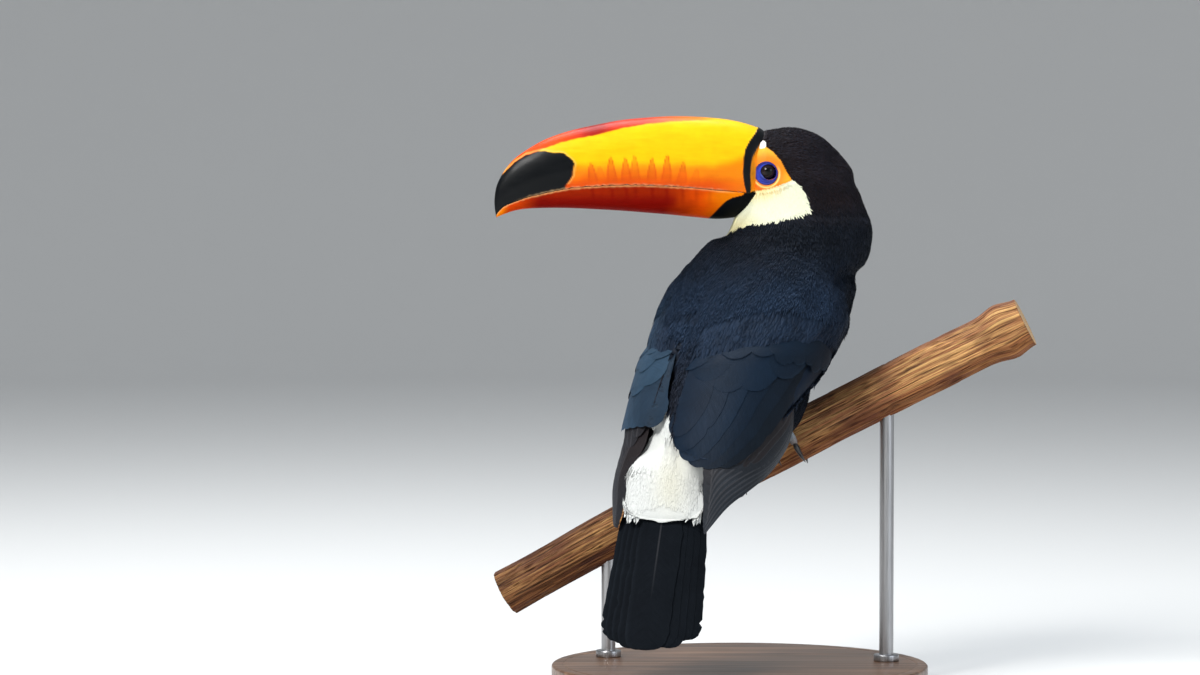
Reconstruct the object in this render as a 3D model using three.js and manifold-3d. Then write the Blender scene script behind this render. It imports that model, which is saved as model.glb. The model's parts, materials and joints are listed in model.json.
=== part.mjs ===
// A toco toucan, life size, perched on a cut length of branch that a plain display stand holds up.
// Millimetres, +Z up. The origin is the centre of the stand's underside, and the bird's back faces -Y.
// The bird heads away from -Y and a little towards +X, with its head turned back over its left shoulder,
// so that the bill points along -X and the left eye faces -Y.
import * as THREE from "three";
import { mergeVertices } from "three/addons/utils/BufferGeometryUtils.js";
import Module from "manifold-3d";

const wasm = await Module();
wasm.setup();

// ---------- driving dimensions ----------

const gap = 0.3; // clearance between pieces that touch
const detail = 0.1; // how far a surface may move when its small triangles are merged

const posture = {
  trunkCentre: [-4, -8, 225],
  heading: 34, // degrees from +Y towards +X
  pitch: 52, // degrees of the trunk above level
  roll: 10, // degrees that the right side is raised, up the branch's slope
  billBase: [11.3, 31, 348.6], // where the gape meets the face
  billYaw: 6, // degrees that the bill turns from -X towards -Y
  tailRoot: [-51.5, -60, 157],
  tailHeading: 20.5,
  tailPitch: 68,
  feetAt: { right: 32, left: -11 }, // X of each foot on the branch
};

const trunk = { length: 200, halfWidth: 59, back: 50, belly: 56 };
const bill = { length: 183.5, halfHeight: 34.8, halfWidth: 20.5 };
const wing = {
  halfWidth: 68,
  back: 60,
  belly: 60,
  raised: { right: 8, left: 4 }, // degrees that each wing lies up towards the middle of the back
  tipAt: { right: 148, left: 134 }, // how far each wing's tip is behind the trunk's centre
};
const tail = { length: 129, thickness: 3, feathers: 7, featherHalfWidth: 11.5 };
const eye = { radius: 6.2, ahead: -7.5, above: 12, aside: 19.2 };
const branch = { radius: 17.5, from: -165, to: 200, knotAt: 186 };
const toe = { radius: 3.3, spread: 12, wrap: 104 };
const stand = { radius: 132, thickness: 16, rodRadius: 5, rodsAt: [-92, 104], sunk: 9 };

// ---------- shapes ----------

const radians = THREE.MathUtils.degToRad;
const clamp = THREE.MathUtils.clamp;
const vector = (values) => new THREE.Vector3(...values);

// The value at t from 0 to 1 on a smooth line through evenly spaced values.
function smoothValue(values, t) {
  const place = clamp(t, 0, 1) * (values.length - 1);
  const i = Math.min(Math.floor(place), values.length - 2);
  const at = (k) => values[clamp(k, 0, values.length - 1)];
  const u = place - i;
  const before = (at(i + 1) - at(i - 1)) / 2;
  const after = (at(i + 2) - at(i)) / 2;
  const rise = at(i + 1) - at(i);
  return at(i) + u * (before + u * (3 * rise - 2 * before - after + u * (before + after - 2 * rise)));
}

// A sphere with its rings laid out by place(t, angle): t runs from pole to pole, and angle goes round a ring.
function bentSphere(around, rings, place) {
  const geometry = new THREE.SphereGeometry(1, around, rings);
  const position = geometry.attributes.position;
  const point = new THREE.Vector3();
  for (let i = 0; i < position.count; i++) {
    point.fromBufferAttribute(position, i);
    const t = Math.acos(clamp(point.y, -1, 1)) / Math.PI;
    point.copy(place(t, Math.atan2(point.z, point.x)));
    position.setXYZ(i, point.x, point.y, point.z);
  }
  return welded(geometry);
}

// A geometry with its shared vertices merged and nothing but positions left.
function welded(geometry) {
  const bare = geometry.clone();
  bare.deleteAttribute("normal");
  bare.deleteAttribute("uv");
  return mergeVertices(bare, 1e-3);
}

// A limb along a path of stations. Each has its place, its half width and half height, and the half height
// below the middle where that differs. The first and last station close to a point. The rings face along the
// path, or turn evenly from one direction of facing to the other.
function limb({ stations, side, around, facing, ringsEach = 2, fullness = 1 }) {
  const curve = new THREE.CatmullRomCurve3(stations.map((station) => vector(station.at)));
  const wide = stations.map((station) => station.wide);
  const tall = stations.map((station) => station.tall);
  const under = stations.map((station) => station.under ?? station.tall);
  const across = new THREE.Vector3();
  const up = new THREE.Vector3();
  return bentSphere(around, Math.round((stations.length - 1) * ringsEach), (t, angle) => {
    const ahead = facing ? facing[0].clone().lerp(facing[1], t).normalize() : curve.getTangent(t);
    across.copy(side).addScaledVector(ahead, -ahead.dot(side)).normalize();
    up.crossVectors(across, ahead);
    const x = smoothValue(wide, t) * Math.sign(Math.cos(angle)) * Math.abs(Math.cos(angle)) ** fullness;
    const z = smoothValue(Math.sin(angle) > 0 ? tall : under, t) * Math.sin(angle);
    return curve.getPoint(t).addScaledVector(across, x).addScaledVector(up, z);
  });
}

// A frame whose axes are lateral (right), ahead and up, for a part that heads, pitches and rolls as given.
function frameOf(centre, heading, pitch, roll = 0) {
  const turn = new THREE.Euler(radians(pitch), -radians(roll), -radians(heading), "ZXY");
  return new THREE.Matrix4().makeRotationFromEuler(turn).setPosition(...centre);
}

const trunkFrame = frameOf(posture.trunkCentre, posture.heading, posture.pitch, posture.roll);
const headFrame = frameOf(posture.billBase, -90 - posture.billYaw, 0);
const tailFrame = frameOf(posture.tailRoot, posture.tailHeading, posture.tailPitch);
const lateralOf = (frame) => new THREE.Vector3().setFromMatrixColumn(frame, 0);
const aheadOf = (frame) => new THREE.Vector3().setFromMatrixColumn(frame, 1);
const upOf = (frame) => new THREE.Vector3().setFromMatrixColumn(frame, 2);
const placed = (frame, x, y, z) => new THREE.Vector3(x, y, z).applyMatrix4(frame).toArray();

// ---------- joining and cutting ----------

function solid(geometry) {
  const made = new wasm.Manifold(
    new wasm.Mesh({
      numProp: 3,
      vertProperties: new Float32Array(geometry.attributes.position.array),
      triVerts: new Uint32Array(geometry.index.array),
    }),
  );
  if (made.volume() > 0) return made;
  return solid(turnedOver(geometry));
}

// The same surface with each face turned round.
function turnedOver(geometry) {
  const turned = geometry.clone();
  const index = turned.index.array;
  for (let i = 0; i < index.length; i += 3) [index[i + 1], index[i + 2]] = [index[i + 2], index[i + 1]];
  return turned;
}

// A solid with each of its faces moved out by the gap, so that what it cuts stays clear of it.
function grown(made, by = gap) {
  const { vertProperties, triVerts } = made.getMesh();
  const count = vertProperties.length / 3;
  const points = Array.from({ length: count }, (_, i) => vector(vertProperties.slice(3 * i, 3 * i + 3)));
  const facesAt = points.map(() => []);
  for (let i = 0; i < triVerts.length; i += 3) {
    const corners = triVerts.slice(i, i + 3);
    const face = new THREE.Triangle(...Array.from(corners, (corner) => points[corner]));
    if (face.getArea() < 1e-3) continue;
    corners.forEach((corner) => facesAt[corner].push(face.getNormal(new THREE.Vector3())));
  }
  const moved = points.map((point, i) => {
    const shift = new THREE.Vector3();
    for (let round = 0; round < 12; round++) {
      for (const normal of facesAt[i]) shift.addScaledVector(normal, Math.max(0, by - normal.dot(shift)));
    }
    return point.clone().add(shift.clampLength(0, 3 * by));
  });
  return solid(new THREE.BufferGeometry().setFromPoints(moved).setIndex([...triVerts]));
}

// Half of space, as a large box below the plane through a point with the given normal.
function halfSpace(point, normal, shift = 0) {
  const size = 900;
  const box = new THREE.BoxGeometry(size, size, size).translate(0, 0, -size / 2 + shift);
  const up = new THREE.Vector3(0, 0, 1);
  box.applyQuaternion(new THREE.Quaternion().setFromUnitVectors(up, vector(normal).normalize()));
  box.translate(...point);
  return solid(welded(box));
}

const largest = (made) => made.decompose().sort((a, b) => b.volume() - a.volume())[0];
const tidied = (made) => largest(made.simplify(detail));

const model = new THREE.Group();

function add(name, made, colour, roughness) {
  const { numProp, vertProperties, triVerts } = made.getMesh();
  if (numProp !== 3) throw new Error(`${name} carries more than positions`);
  const geometry = new THREE.BufferGeometry()
    .setAttribute("position", new THREE.BufferAttribute(vertProperties, 3))
    .setIndex(new THREE.BufferAttribute(triVerts, 1));
  geometry.computeVertexNormals();
  const material = new THREE.MeshStandardMaterial({ color: colour, roughness, metalness: 0 });
  const mesh = new THREE.Mesh(geometry, material);
  mesh.name = name;
  model.add(mesh);
}

const colours = {
  plumage: 0x0d1016,
  white: 0xf4f1dd,
  red: 0xb3261a,
  bill: 0xf79a0b,
  lowerBill: 0xe04a0c,
  eye: 0x120c0a,
  foot: 0x7f8c9c,
  claw: 0x17181c,
  bark: 0x8a5630,
  rod: 0x2b2b2e,
  base: 0x6f4a2c,
};

// ---------- trunk, neck and head ----------

// Stations down the middle of a frame: distance ahead, height above, then shares of the largest half sizes.
function middleStations(frame, size, rows) {
  return rows.map(([ahead, above, wide, tall, under = tall]) => ({
    at: placed(frame, 0, ahead, above),
    wide: wide * size.halfWidth,
    tall: tall * size.back,
    under: under * size.belly,
  }));
}

const trunkShape = limb({
  stations: middleStations(trunkFrame, trunk, [
    [-0.54 * trunk.length, -12, 0, 0],
    [-0.5 * trunk.length, -10, 0.36, 0.26, 0.32],
    [-0.36 * trunk.length, -3, 0.64, 0.6, 0.52],
    [-0.14 * trunk.length, 0, 0.88, 0.88, 0.8],
    [0.1 * trunk.length, 0, 0.99, 1, 1],
    [0.28 * trunk.length, 0, 0.99, 0.98, 1],
    [0.42 * trunk.length, -2, 0.78, 0.76, 0.84],
    [0.49 * trunk.length, -3, 0, 0],
  ]),
  side: lateralOf(trunkFrame),
  around: 20,
});

const neckShape = limb({
  stations: [
    { at: [-10, -10, 212], wide: 0, tall: 0 },
    { at: [-5, -4, 230], wide: 50, tall: 44 },
    { at: [6, 8, 252], wide: 57, tall: 50 },
    { at: [19, 20, 279], wide: 60, tall: 51 },
    { at: [33, 29, 301], wide: 57, tall: 46 },
    { at: [43, 33, 322], wide: 49.5, tall: 38 },
    { at: [44, 33, 341], wide: 44, tall: 31.5 },
    { at: [44, 32, 360], wide: 35, tall: 26 },
    { at: [42, 32, 378], wide: 0, tall: 0 },
  ],
  side: new THREE.Vector3(1, 0, 0),
  facing: [aheadOf(trunkFrame), new THREE.Vector3(0, 0, 1)],
  around: 18,
});

const skull = { halfWidth: 27, back: 38, belly: 36 };
const headShape = limb({
  stations: middleStations(headFrame, skull, [
    [5, 11, 0, 0],
    [2, 11, 0.76, 0.78, 0.78],
    [-12, 11, 0.93, 0.92, 0.9],
    [-32, 6, 1, 1.01, 1],
    [-52, 0, 0.92, 0.9, 0.9],
    [-65, -5, 0.64, 0.58, 0.6],
    [-71, -7, 0, 0],
  ]),
  side: lateralOf(headFrame),
  around: 15,
});

// ---------- bill and eyes ----------

const billShape = limb({
  stations: middleStations(headFrame, { ...bill, back: bill.halfHeight, belly: bill.halfHeight }, [
    [-14, 10, 0, 0],
    [-10, 10.5, 0.92, 0.891],
    [10, 12, 1, 0.948],
    [45, 15.5, 0.97, 1],
    [85, 17, 0.87, 0.925],
    [120, 15, 0.74, 0.805],
    [148, 10, 0.6, 0.661],
    [bill.length - 17.5, 4.5, 0.46, 0.503],
    [bill.length - 6.5, -2, 0.32, 0.345],
    [bill.length - 1.5, -9, 0.17, 0.2],
    [bill.length, -19, 0, 0],
  ]),
  side: lateralOf(headFrame),
  around: 14,
  ringsEach: 1.4,
  fullness: 0.85,
});

// The line where the mandibles meet, as [distance ahead, height], from inside the face to beyond the tip.
const gapeLine = [
  [-30, -5], [6, -2.7], [50, 1.2], [82, 3], [110, 2.4], [135, -0.8], [160, -6.2], [176, -11.5], [187, -22],
];

// A thin upright slab that follows the gape line right across the bill.
function gapeSlab() {
  const line = new THREE.SplineCurve(gapeLine.map(([ahead, above]) => new THREE.Vector2(ahead, above)));
  const points = line.getPoints(18);
  const low = points.map((p) => new THREE.Vector2(p.x, p.y - gap / 2));
  const high = points.map((p) => new THREE.Vector2(p.x, p.y + gap / 2)).reverse();
  const breadth = 3 * bill.halfWidth;
  const outline = new THREE.Shape([...low, ...high]);
  const slab = new THREE.ExtrudeGeometry(outline, { depth: breadth, bevelEnabled: false });
  slab.translate(0, 0, -breadth / 2);
  slab.applyMatrix4(new THREE.Matrix4().makeBasis(
    new THREE.Vector3(0, 1, 0), new THREE.Vector3(0, 0, 1), new THREE.Vector3(1, 0, 0)));
  return solid(welded(slab.applyMatrix4(headFrame)));
}

function eyeShape(sign) {
  const ball = welded(new THREE.SphereGeometry(eye.radius, 8, 7));
  return ball.translate(...placed(headFrame, sign * eye.aside, eye.ahead, eye.above));
}

// ---------- folded wings ----------

// The half sizes of the two folded wings about the trunk's axis, from the bend of the wing back to its tip.
const foldedWings = {
  ahead: [84, 66, 36, 0, -40, -80, -112, -136, -154],
  wide: [0.74, 1.01, 1.11, 1.09, 1.04, 0.98, 0.9, 0.78, 0.62],
  tall: [0.7, 0.92, 1, 0.98, 0.9, 0.76, 0.58, 0.4, 0.3],
  under: [0.7, 0.96, 1.06, 1.02, 0.92, 0.74, 0.54, 0.38, 0.28],
};

// A patch of the folded wing on one side. Angles are degrees round the trunk, 0 level and 90 on the back.
function wingPatch({ side, ahead, middle, reach, thickness, depth = 0, around, rings }) {
  const [name, sign] = side;
  const span = foldedWings.ahead;
  const shareAt = (list, y) => {
    let i = 0;
    while (i < span.length - 2 && y < span[i + 1]) i++;
    const t = (i + (span[i] - y) / (span[i] - span[i + 1])) / (span.length - 1);
    return smoothValue(foldedWings[list], t);
  };
  return bentSphere(around, rings, (t, angle) => {
    const y = smoothValue(ahead, t);
    const across = smoothValue(reach, t) * Math.cos(angle);
    const turn = radians(smoothValue(middle, t) + wing.raised[name] + across);
    const inset = depth + (smoothValue(thickness, t) * (1 - Math.sin(angle))) / 2;
    const wide = shareAt("wide", y) * wing.halfWidth - inset;
    const tall = (turn > 0 ? shareAt("tall", y) * wing.back : shareAt("under", y) * wing.belly) - inset;
    return vector(placed(trunkFrame, sign * wide * Math.cos(turn), y, tall * Math.sin(turn)));
  });
}

// Coverts, scapulars and inner flight feathers: the broad shield that reaches the middle of the back.
const wingShield = (side) => wingPatch({
  side,
  ahead: [82, 70, 38, 4, -28, -58, -91, -104],
  middle: [12, 14, 19, 25, 30, 35, 40, 43],
  reach: [0, 40, 58, 58, 50, 43, 33, 0],
  thickness: [0, 11, 13, 13, 13, 11, 8, 0],
  around: 16,
  rings: 12,
});

// The long outer flight feathers, folded under the shield and reaching past it to the wing's tip.
const wingBlade = (side) => wingPatch({
  side,
  ahead: [18, -4, ...[0.26, 0.49, 0.71, 0.89, 1].map((share) => -share * wing.tipAt[side[0]])],
  middle: [-12, -13, -10, -2, 3, 4, 4],
  reach: [0, 21, 33, 41, 35, 20, 0],
  thickness: [0, 7, 8, 6.5, 5, 3.5, 0],
  depth: 1.5,
  around: 12,
  rings: 11,
});

// ---------- tail and its coverts ----------

// One tail feather: a long flat blade with a rounded end, swung out and a little lower than the one above it.
function tailFeather(place) {
  const out = Math.abs(place);
  const swing = radians(1.2) * place;
  const length = tail.length * (1 - 0.008 * out * out);
  const root = [6.1 * place, 0, -1.1 * out];
  const frame = new THREE.Matrix4().makeRotationZ(swing).setPosition(...root).premultiply(tailFrame);
  frame.multiply(new THREE.Matrix4().makeRotationY(radians(7) * place));
  const size = { halfWidth: tail.featherHalfWidth, back: tail.thickness / 2, belly: tail.thickness / 2 };
  return limb({
    stations: middleStations(frame, size, [
      [4, 0, 0, 0],
      [-4, 0, 0.5, 0.6],
      [-0.3 * length, 0, 0.8, 1],
      [-0.75 * length, 0, 1, 1],
      [-0.97 * length, 0, 0.86, 0.8],
      [-length, 0, 0, 0],
    ]),
    side: lateralOf(frame),
    around: 6,
    ringsEach: 1,
  });
}

const tailPlaces = Array.from({ length: tail.feathers }, (_, i) => i - (tail.feathers - 1) / 2);

// A soft cushion of feathers over the tail's root, above it (sign 1) or below it (sign -1).
const tailCoverts = (sign, halfWidth, thickness) => limb({
  stations: [
    { at: placed(trunkFrame, 0, -52, sign > 0 ? 30 : -34), wide: 0, tall: 0 },
    { at: placed(trunkFrame, 0, -64, sign > 0 ? 27 : -30), wide: 0.62, tall: 0.8 },
    { at: placed(trunkFrame, 0, -88, sign > 0 ? 17 : -26), wide: 0.96, tall: 1.05 },
    { at: placed(tailFrame, 0, -4, sign > 0 ? 5 : -13), wide: 1, tall: 0.95 },
    { at: placed(tailFrame, 0, -22, sign > 0 ? 3 : -11), wide: 1, tall: 0.75 },
    { at: placed(tailFrame, 0, -36, sign > 0 ? 2 : -10), wide: 0.86, tall: 0.4 },
    { at: placed(tailFrame, 0, -41, sign > 0 ? 2 : -10), wide: 0, tall: 0 },
  ].map(({ at, wide, tall }) => ({ at, wide: wide * halfWidth, tall: tall * thickness })),
  side: lateralOf(tailFrame),
  facing: [trunkFrame, tailFrame].map((frame) => aheadOf(frame).negate()),
  around: 11,
});

// ---------- branch ----------

const branchLine = new THREE.CatmullRomCurve3([
  [-215, 62, 31], [-150, 51, 69], [-90, 42, 103.5], [-30, 34, 136], [36, 26, 171.5],
  [110, 16, 210.5], [180, 6, 246], [240, -2, 276],
].map(vector));

// The branch's middle at a given X, its direction there and its two cross directions.
function branchAt(x) {
  let [low, high] = [0, 1];
  for (let i = 0; i < 40; i++) {
    const middle = (low + high) / 2;
    if (branchLine.getPoint(middle).x < x) low = middle;
    else high = middle;
  }
  const along = branchLine.getTangent(low);
  const up = new THREE.Vector3(0, 0, 1).addScaledVector(along, -along.z).normalize();
  const front = new THREE.Vector3().crossVectors(along, up);
  return { at: branchLine.getPoint(low), along, up, front };
}

function branchSolid() {
  const count = 20;
  const stations = Array.from({ length: count }, (_, i) => {
    const { at } = branchAt(THREE.MathUtils.lerp(branch.from - 20, branch.to + 20, i / (count - 1)));
    const knot = 3.2 * Math.exp(-(((at.x - branch.knotAt) / 9) ** 2));
    const taper = 0.94 + 0.06 * THREE.MathUtils.smoothstep(at.x, -150, 30);
    const round = i > 0 && i < count - 1 ? branch.radius * taper + knot + 0.35 * Math.sin(at.x / 17) : 0;
    return { at: at.toArray(), wide: round, tall: round * 0.97 };
  });
  const whole = solid(limb({ stations, side: new THREE.Vector3(0, 1, 0), around: 13, ringsEach: 1 }));
  const ends = [[branch.from, -1], [branch.to, 1]].map(([x, sign]) => {
    const { at, along } = branchAt(x);
    return halfSpace(at.toArray(), along.multiplyScalar(sign).toArray());
  });
  return whole.intersect(ends[0]).intersect(ends[1]);
}

// ---------- legs and feet ----------

// Two toes go forward over the branch and two back, each wrapped part of the way round it.
const toePlan = [
  { back: false, spread: 0.5, wrap: 1.12 },
  { back: false, spread: -0.6, wrap: 0.98 },
  { back: true, spread: 0.65, wrap: 1.04 },
  { back: true, spread: -0.5, wrap: 0.86 },
];

// A point beside the branch: degrees round from its top towards -Y, at a distance off its middle.
function roundBranch(x, degrees, off) {
  const { at, up, front } = branchAt(x);
  const angle = radians(degrees);
  at.addScaledVector(up, Math.cos(angle) * off).addScaledVector(front, Math.sin(angle) * off);
  return at.toArray();
}

function toeShape(footX, { back, spread, wrap }) {
  const pads = [0, 1.15, 1, 1.18, 0.94, 1.12, 0.86, 0.96, 0];
  const stations = pads.map((pad, i) => {
    const share = i / (pads.length - 1);
    const degrees = (back ? 1 : -1) * (share * wrap * toe.wrap - 5);
    const off = branch.radius + gap + 0.6 + toe.radius * (1 + 0.25 * (1 - share));
    return {
      at: roundBranch(footX + spread * toe.spread * Math.min(1, 1.6 * share), degrees, off),
      wide: pad * toe.radius * (1.12 - 0.26 * share),
      tall: pad * toe.radius * (1 - 0.2 * share),
    };
  });
  return limb({ stations, side: branchAt(footX).along, around: 6, ringsEach: 1 });
}

function clawShape(footX, { back, spread, wrap }) {
  const sizes = [0, 0.8, 0.72, 0.5, 0.26, 0];
  const stations = sizes.map((size, i) => {
    const share = i / (sizes.length - 1);
    const degrees = (back ? 1 : -1) * (wrap * toe.wrap - 10 + 44 * share);
    const off = branch.radius + gap + 0.8 + toe.radius * (0.95 + 0.75 * Math.sin(share * 2.2));
    return {
      at: roundBranch(footX + spread * toe.spread, degrees, off),
      wide: size * toe.radius * 0.72,
      tall: size * toe.radius,
    };
  });
  return limb({ stations, side: branchAt(footX).along, around: 6, ringsEach: 1 });
}

// The bare shank, from the pad on top of the branch up into the feathers of the belly.
function shankShape(footX, sign) {
  const foot = (off) => roundBranch(footX, 0, branch.radius + gap + off);
  return limb({
    stations: [
      { at: foot(1.4), wide: 0, tall: 0 },
      { at: foot(3.6), wide: 6, tall: 5.2 },
      { at: foot(9), wide: 4.4, tall: 4.4 },
      { at: placed(trunkFrame, sign * 22, -12, -44), wide: 4.4, tall: 4.6 },
      { at: placed(trunkFrame, sign * 22, -22, -34), wide: 5, tall: 5 },
      { at: placed(trunkFrame, sign * 22, -24, -30), wide: 0, tall: 0 },
    ],
    side: branchAt(footX).along,
    around: 8,
    ringsEach: 1,
  });
}

// The feathered thigh, a swelling low on the flank.
const thighShape = (sign) => limb({
  stations: [
    { at: placed(trunkFrame, sign * 20, 24, -30), wide: 0, tall: 0 },
    { at: placed(trunkFrame, sign * 21, 14, -33), wide: 15, tall: 16 },
    { at: placed(trunkFrame, sign * 22, -8, -36), wide: 16, tall: 18 },
    { at: placed(trunkFrame, sign * 22, -28, -35), wide: 12, tall: 14 },
    { at: placed(trunkFrame, sign * 21, -40, -31), wide: 0, tall: 0 },
  ],
  side: lateralOf(trunkFrame),
  around: 14,
});

// ---------- stand ----------

function baseShape() {
  const { radius, thickness } = stand;
  const profile = [
    [0, 0], [radius - 2, 0], [radius, 2], [radius, thickness - 5], [radius - 5, thickness], [0, thickness],
  ];
  const lathe = new THREE.LatheGeometry(profile.map(([x, y]) => new THREE.Vector2(x, y)), 28);
  return welded(lathe.rotateX(Math.PI / 2));
}

function rodShape(x, grow = 0) {
  const { at } = branchAt(x);
  const foot = stand.thickness - stand.sunk - grow;
  const top = at.z - 4 + grow;
  const radius = stand.rodRadius + grow;
  const rod = new THREE.CylinderGeometry(radius, radius, top - foot, 14);
  return welded(rod.rotateX(Math.PI / 2).translate(x, at.y, (top + foot) / 2));
}

// ---------- assembly ----------

const union = (solids) => solids.reduce((all, one) => all.add(one));
const less = (made, ...cutters) => cutters.reduce((left, one) => left.subtract(one), made);
const sides = [["right", 1], ["left", -1]];

const rodCuts = stand.rodsAt.map((x) => solid(rodShape(x, gap)));
const perch = tidied(less(branchSolid(), ...rodCuts));
const perchCut = grown(perch);

// One body of flesh, parted by thin cuts at the neck's root and below the head.
const flesh = union([trunkShape, neckShape, headShape].map(solid));
const neckRoot = { at: [20, 24, 284], normal: [0.28, 0.42, 0.86] };
const headRoot = { at: [44, 32, 331], normal: [-0.1, 0.1, 1] };
const below = ({ at, normal }) => halfSpace(at, normal, -gap / 2);
const above = ({ at, normal }) => halfSpace(at, normal.map((v) => -v), -gap / 2);
const eyes = sides.map(([, sign]) => solid(eyeShape(sign)));
const body = tidied(flesh.intersect(below(neckRoot)).subtract(perchCut));
const neck = tidied(flesh.intersect(above(neckRoot)).intersect(below(headRoot)));
const head = tidied(less(flesh.intersect(above(headRoot)), ...eyes.map((made) => grown(made))));
add("trunk", body, colours.plumage, 0.7);
add("neck", neck, colours.plumage, 0.7);
add("head", head, colours.plumage, 0.7);
sides.forEach(([name], i) => add(`${name}_eye`, eyes[i], colours.eye, 0.1));

const wholeBill = less(solid(billShape), grown(head), grown(neck)).subtract(gapeSlab());
const mandibles = wholeBill.decompose().sort((a, b) => b.volume() - a.volume());
add("bill_upper", tidied(mandibles[0]), colours.bill, 0.3);
add("bill_lower", tidied(mandibles[1]), colours.lowerBill, 0.3);

const bodyCuts = [grown(body), grown(neck)];
for (const side of sides) {
  const shield = tidied(less(solid(wingShield(side)), ...bodyCuts));
  const blade = tidied(less(solid(wingBlade(side)), ...bodyCuts, grown(shield)));
  add(`${side[0]}_wing`, shield, colours.plumage, 0.6);
  add(`${side[0]}_wing_tip`, blade, colours.plumage, 0.6);
  bodyCuts.push(grown(shield), grown(blade));
}

const blades = tidied(less(union(tailPlaces.map((place) => solid(tailFeather(place)))), ...bodyCuts));
add("tail", blades, colours.plumage, 0.6);
const overTail = halfSpace(placed(tailFrame, 0, 0, 2), upOf(tailFrame).negate().toArray());
const underTail = halfSpace(placed(tailFrame, 0, 0, -9.5), upOf(tailFrame).toArray());
const rump = solid(tailCoverts(1, 30, 13)).intersect(overTail);
const undertail = solid(tailCoverts(-1, 25, 11)).intersect(underTail);
add("rump", tidied(less(rump, ...bodyCuts)), colours.white, 0.8);
add("undertail", tidied(less(undertail, ...bodyCuts)), colours.red, 0.8);
bodyCuts.push(grown(blades));

for (const [name, sign] of sides) {
  const footX = posture.feetAt[name];
  const thigh = tidied(less(solid(thighShape(sign)), perchCut, ...bodyCuts));
  const toes = toePlan.map((plan) => solid(toeShape(footX, plan)));
  const foot = tidied(less(union([solid(shankShape(footX, sign)), ...toes]), grown(thigh), bodyCuts[0]));
  add(`${name}_thigh`, thigh, colours.plumage, 0.7);
  add(`${name}_foot`, foot, colours.foot, 0.5);
  toePlan.forEach((plan, i) => {
    const claw = tidied(less(solid(clawShape(footX, plan)), grown(foot)));
    add(`${name}_claw_${i + 1}`, claw, colours.claw, 0.4);
  });
}

add("perch", perch, colours.bark, 0.8);
add("stand_base", less(solid(baseShape()), ...rodCuts), colours.base, 0.5);
stand.rodsAt.forEach((x, i) => add(`stand_rod_${i + 1}`, solid(rodShape(x)), colours.rod, 0.4));

export default model;
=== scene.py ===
# A toco toucan on a cut branch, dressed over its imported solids.
import json
import math

import bmesh
import bpy
import numpy as np
from mathutils import Matrix, Vector, noise
from mathutils.bvhtree import BVHTree

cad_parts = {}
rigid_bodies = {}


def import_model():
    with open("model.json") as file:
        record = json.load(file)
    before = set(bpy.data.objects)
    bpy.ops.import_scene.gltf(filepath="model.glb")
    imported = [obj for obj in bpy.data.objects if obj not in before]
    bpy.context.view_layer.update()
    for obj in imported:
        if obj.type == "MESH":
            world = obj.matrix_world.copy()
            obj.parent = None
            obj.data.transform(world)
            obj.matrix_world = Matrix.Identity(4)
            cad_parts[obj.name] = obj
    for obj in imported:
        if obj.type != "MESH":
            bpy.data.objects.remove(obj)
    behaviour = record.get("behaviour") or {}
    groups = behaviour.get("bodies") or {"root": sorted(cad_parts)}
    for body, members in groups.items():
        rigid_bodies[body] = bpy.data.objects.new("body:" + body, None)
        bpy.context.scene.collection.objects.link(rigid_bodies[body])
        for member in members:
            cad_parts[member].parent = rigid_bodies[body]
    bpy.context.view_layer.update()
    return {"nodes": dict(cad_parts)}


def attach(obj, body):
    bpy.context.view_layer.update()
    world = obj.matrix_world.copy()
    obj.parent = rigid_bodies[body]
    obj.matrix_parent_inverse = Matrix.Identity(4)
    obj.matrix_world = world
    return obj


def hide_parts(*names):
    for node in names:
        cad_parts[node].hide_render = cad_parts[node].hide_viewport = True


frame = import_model()
dice = np.random.default_rng(7)
mm = 0.001


# frames and smooth lines

def frameOf(centre, heading, pitch, roll=0.0):
    turn = (Matrix.Rotation(math.radians(-heading), 4, "Z")
            @ Matrix.Rotation(math.radians(pitch), 4, "X")
            @ Matrix.Rotation(math.radians(-roll), 4, "Y"))
    return np.array(Matrix.Translation(Vector(centre)) @ turn)


posture = {
    "trunkCentre": (-4, -8, 225), "heading": 34, "pitch": 52, "roll": 10,
    "billBase": (11.3, 31, 348.6), "billYaw": 6,
    "tailRoot": (-51.5, -60, 157), "tailHeading": 20.5, "tailPitch": 68,
}
trunkFrame = frameOf(posture["trunkCentre"], posture["heading"], posture["pitch"], posture["roll"])
headFrame = frameOf(posture["billBase"], -90 - posture["billYaw"], 0)
tailFrame = frameOf(posture["tailRoot"], posture["tailHeading"], posture["tailPitch"])


def placed(base, local):
    # points in a frame's own millimetres, as points of the model in millimetres
    return np.asarray(local, float) @ base[:3, :3].T + base[:3, 3]


def localOf(base, points):
    return (np.asarray(points, float) - base[:3, 3]) @ base[:3, :3]


def smoothLine(xs, ys, x):
    # a smooth line through the points (xs, ys), read at x
    xs, ys, x = np.asarray(xs, float), np.asarray(ys, float), np.asarray(x, float)
    slopes = np.gradient(ys, xs, axis=0)
    i = np.clip(np.searchsorted(xs, x, side="right") - 1, 0, len(xs) - 2)
    span = xs[i + 1] - xs[i]
    u = np.clip((x - xs[i]) / span, 0, 1)
    if ys.ndim > 1:
        u, span = u[..., None], span[..., None]
    a, b = ys[i], ys[i + 1]
    ma, mb = slopes[i] * span, slopes[i + 1] * span
    return a + u * (ma + u * (3 * (b - a) - 2 * ma - mb + u * (ma + mb - 2 * (b - a))))


def ease(low, high, x):
    u = np.clip((np.asarray(x, float) - low) / (high - low), 0, 1)
    return u * u * (3 - 2 * u)


def hump(x, middle, wide):
    # a soft hump of height one
    return np.exp(-((x - middle) / wide) ** 2)


def mix(a, b, share):
    share = np.asarray(share, float)[..., None]
    return np.asarray(a, float) * (1 - share) + np.asarray(b, float) * share


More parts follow.
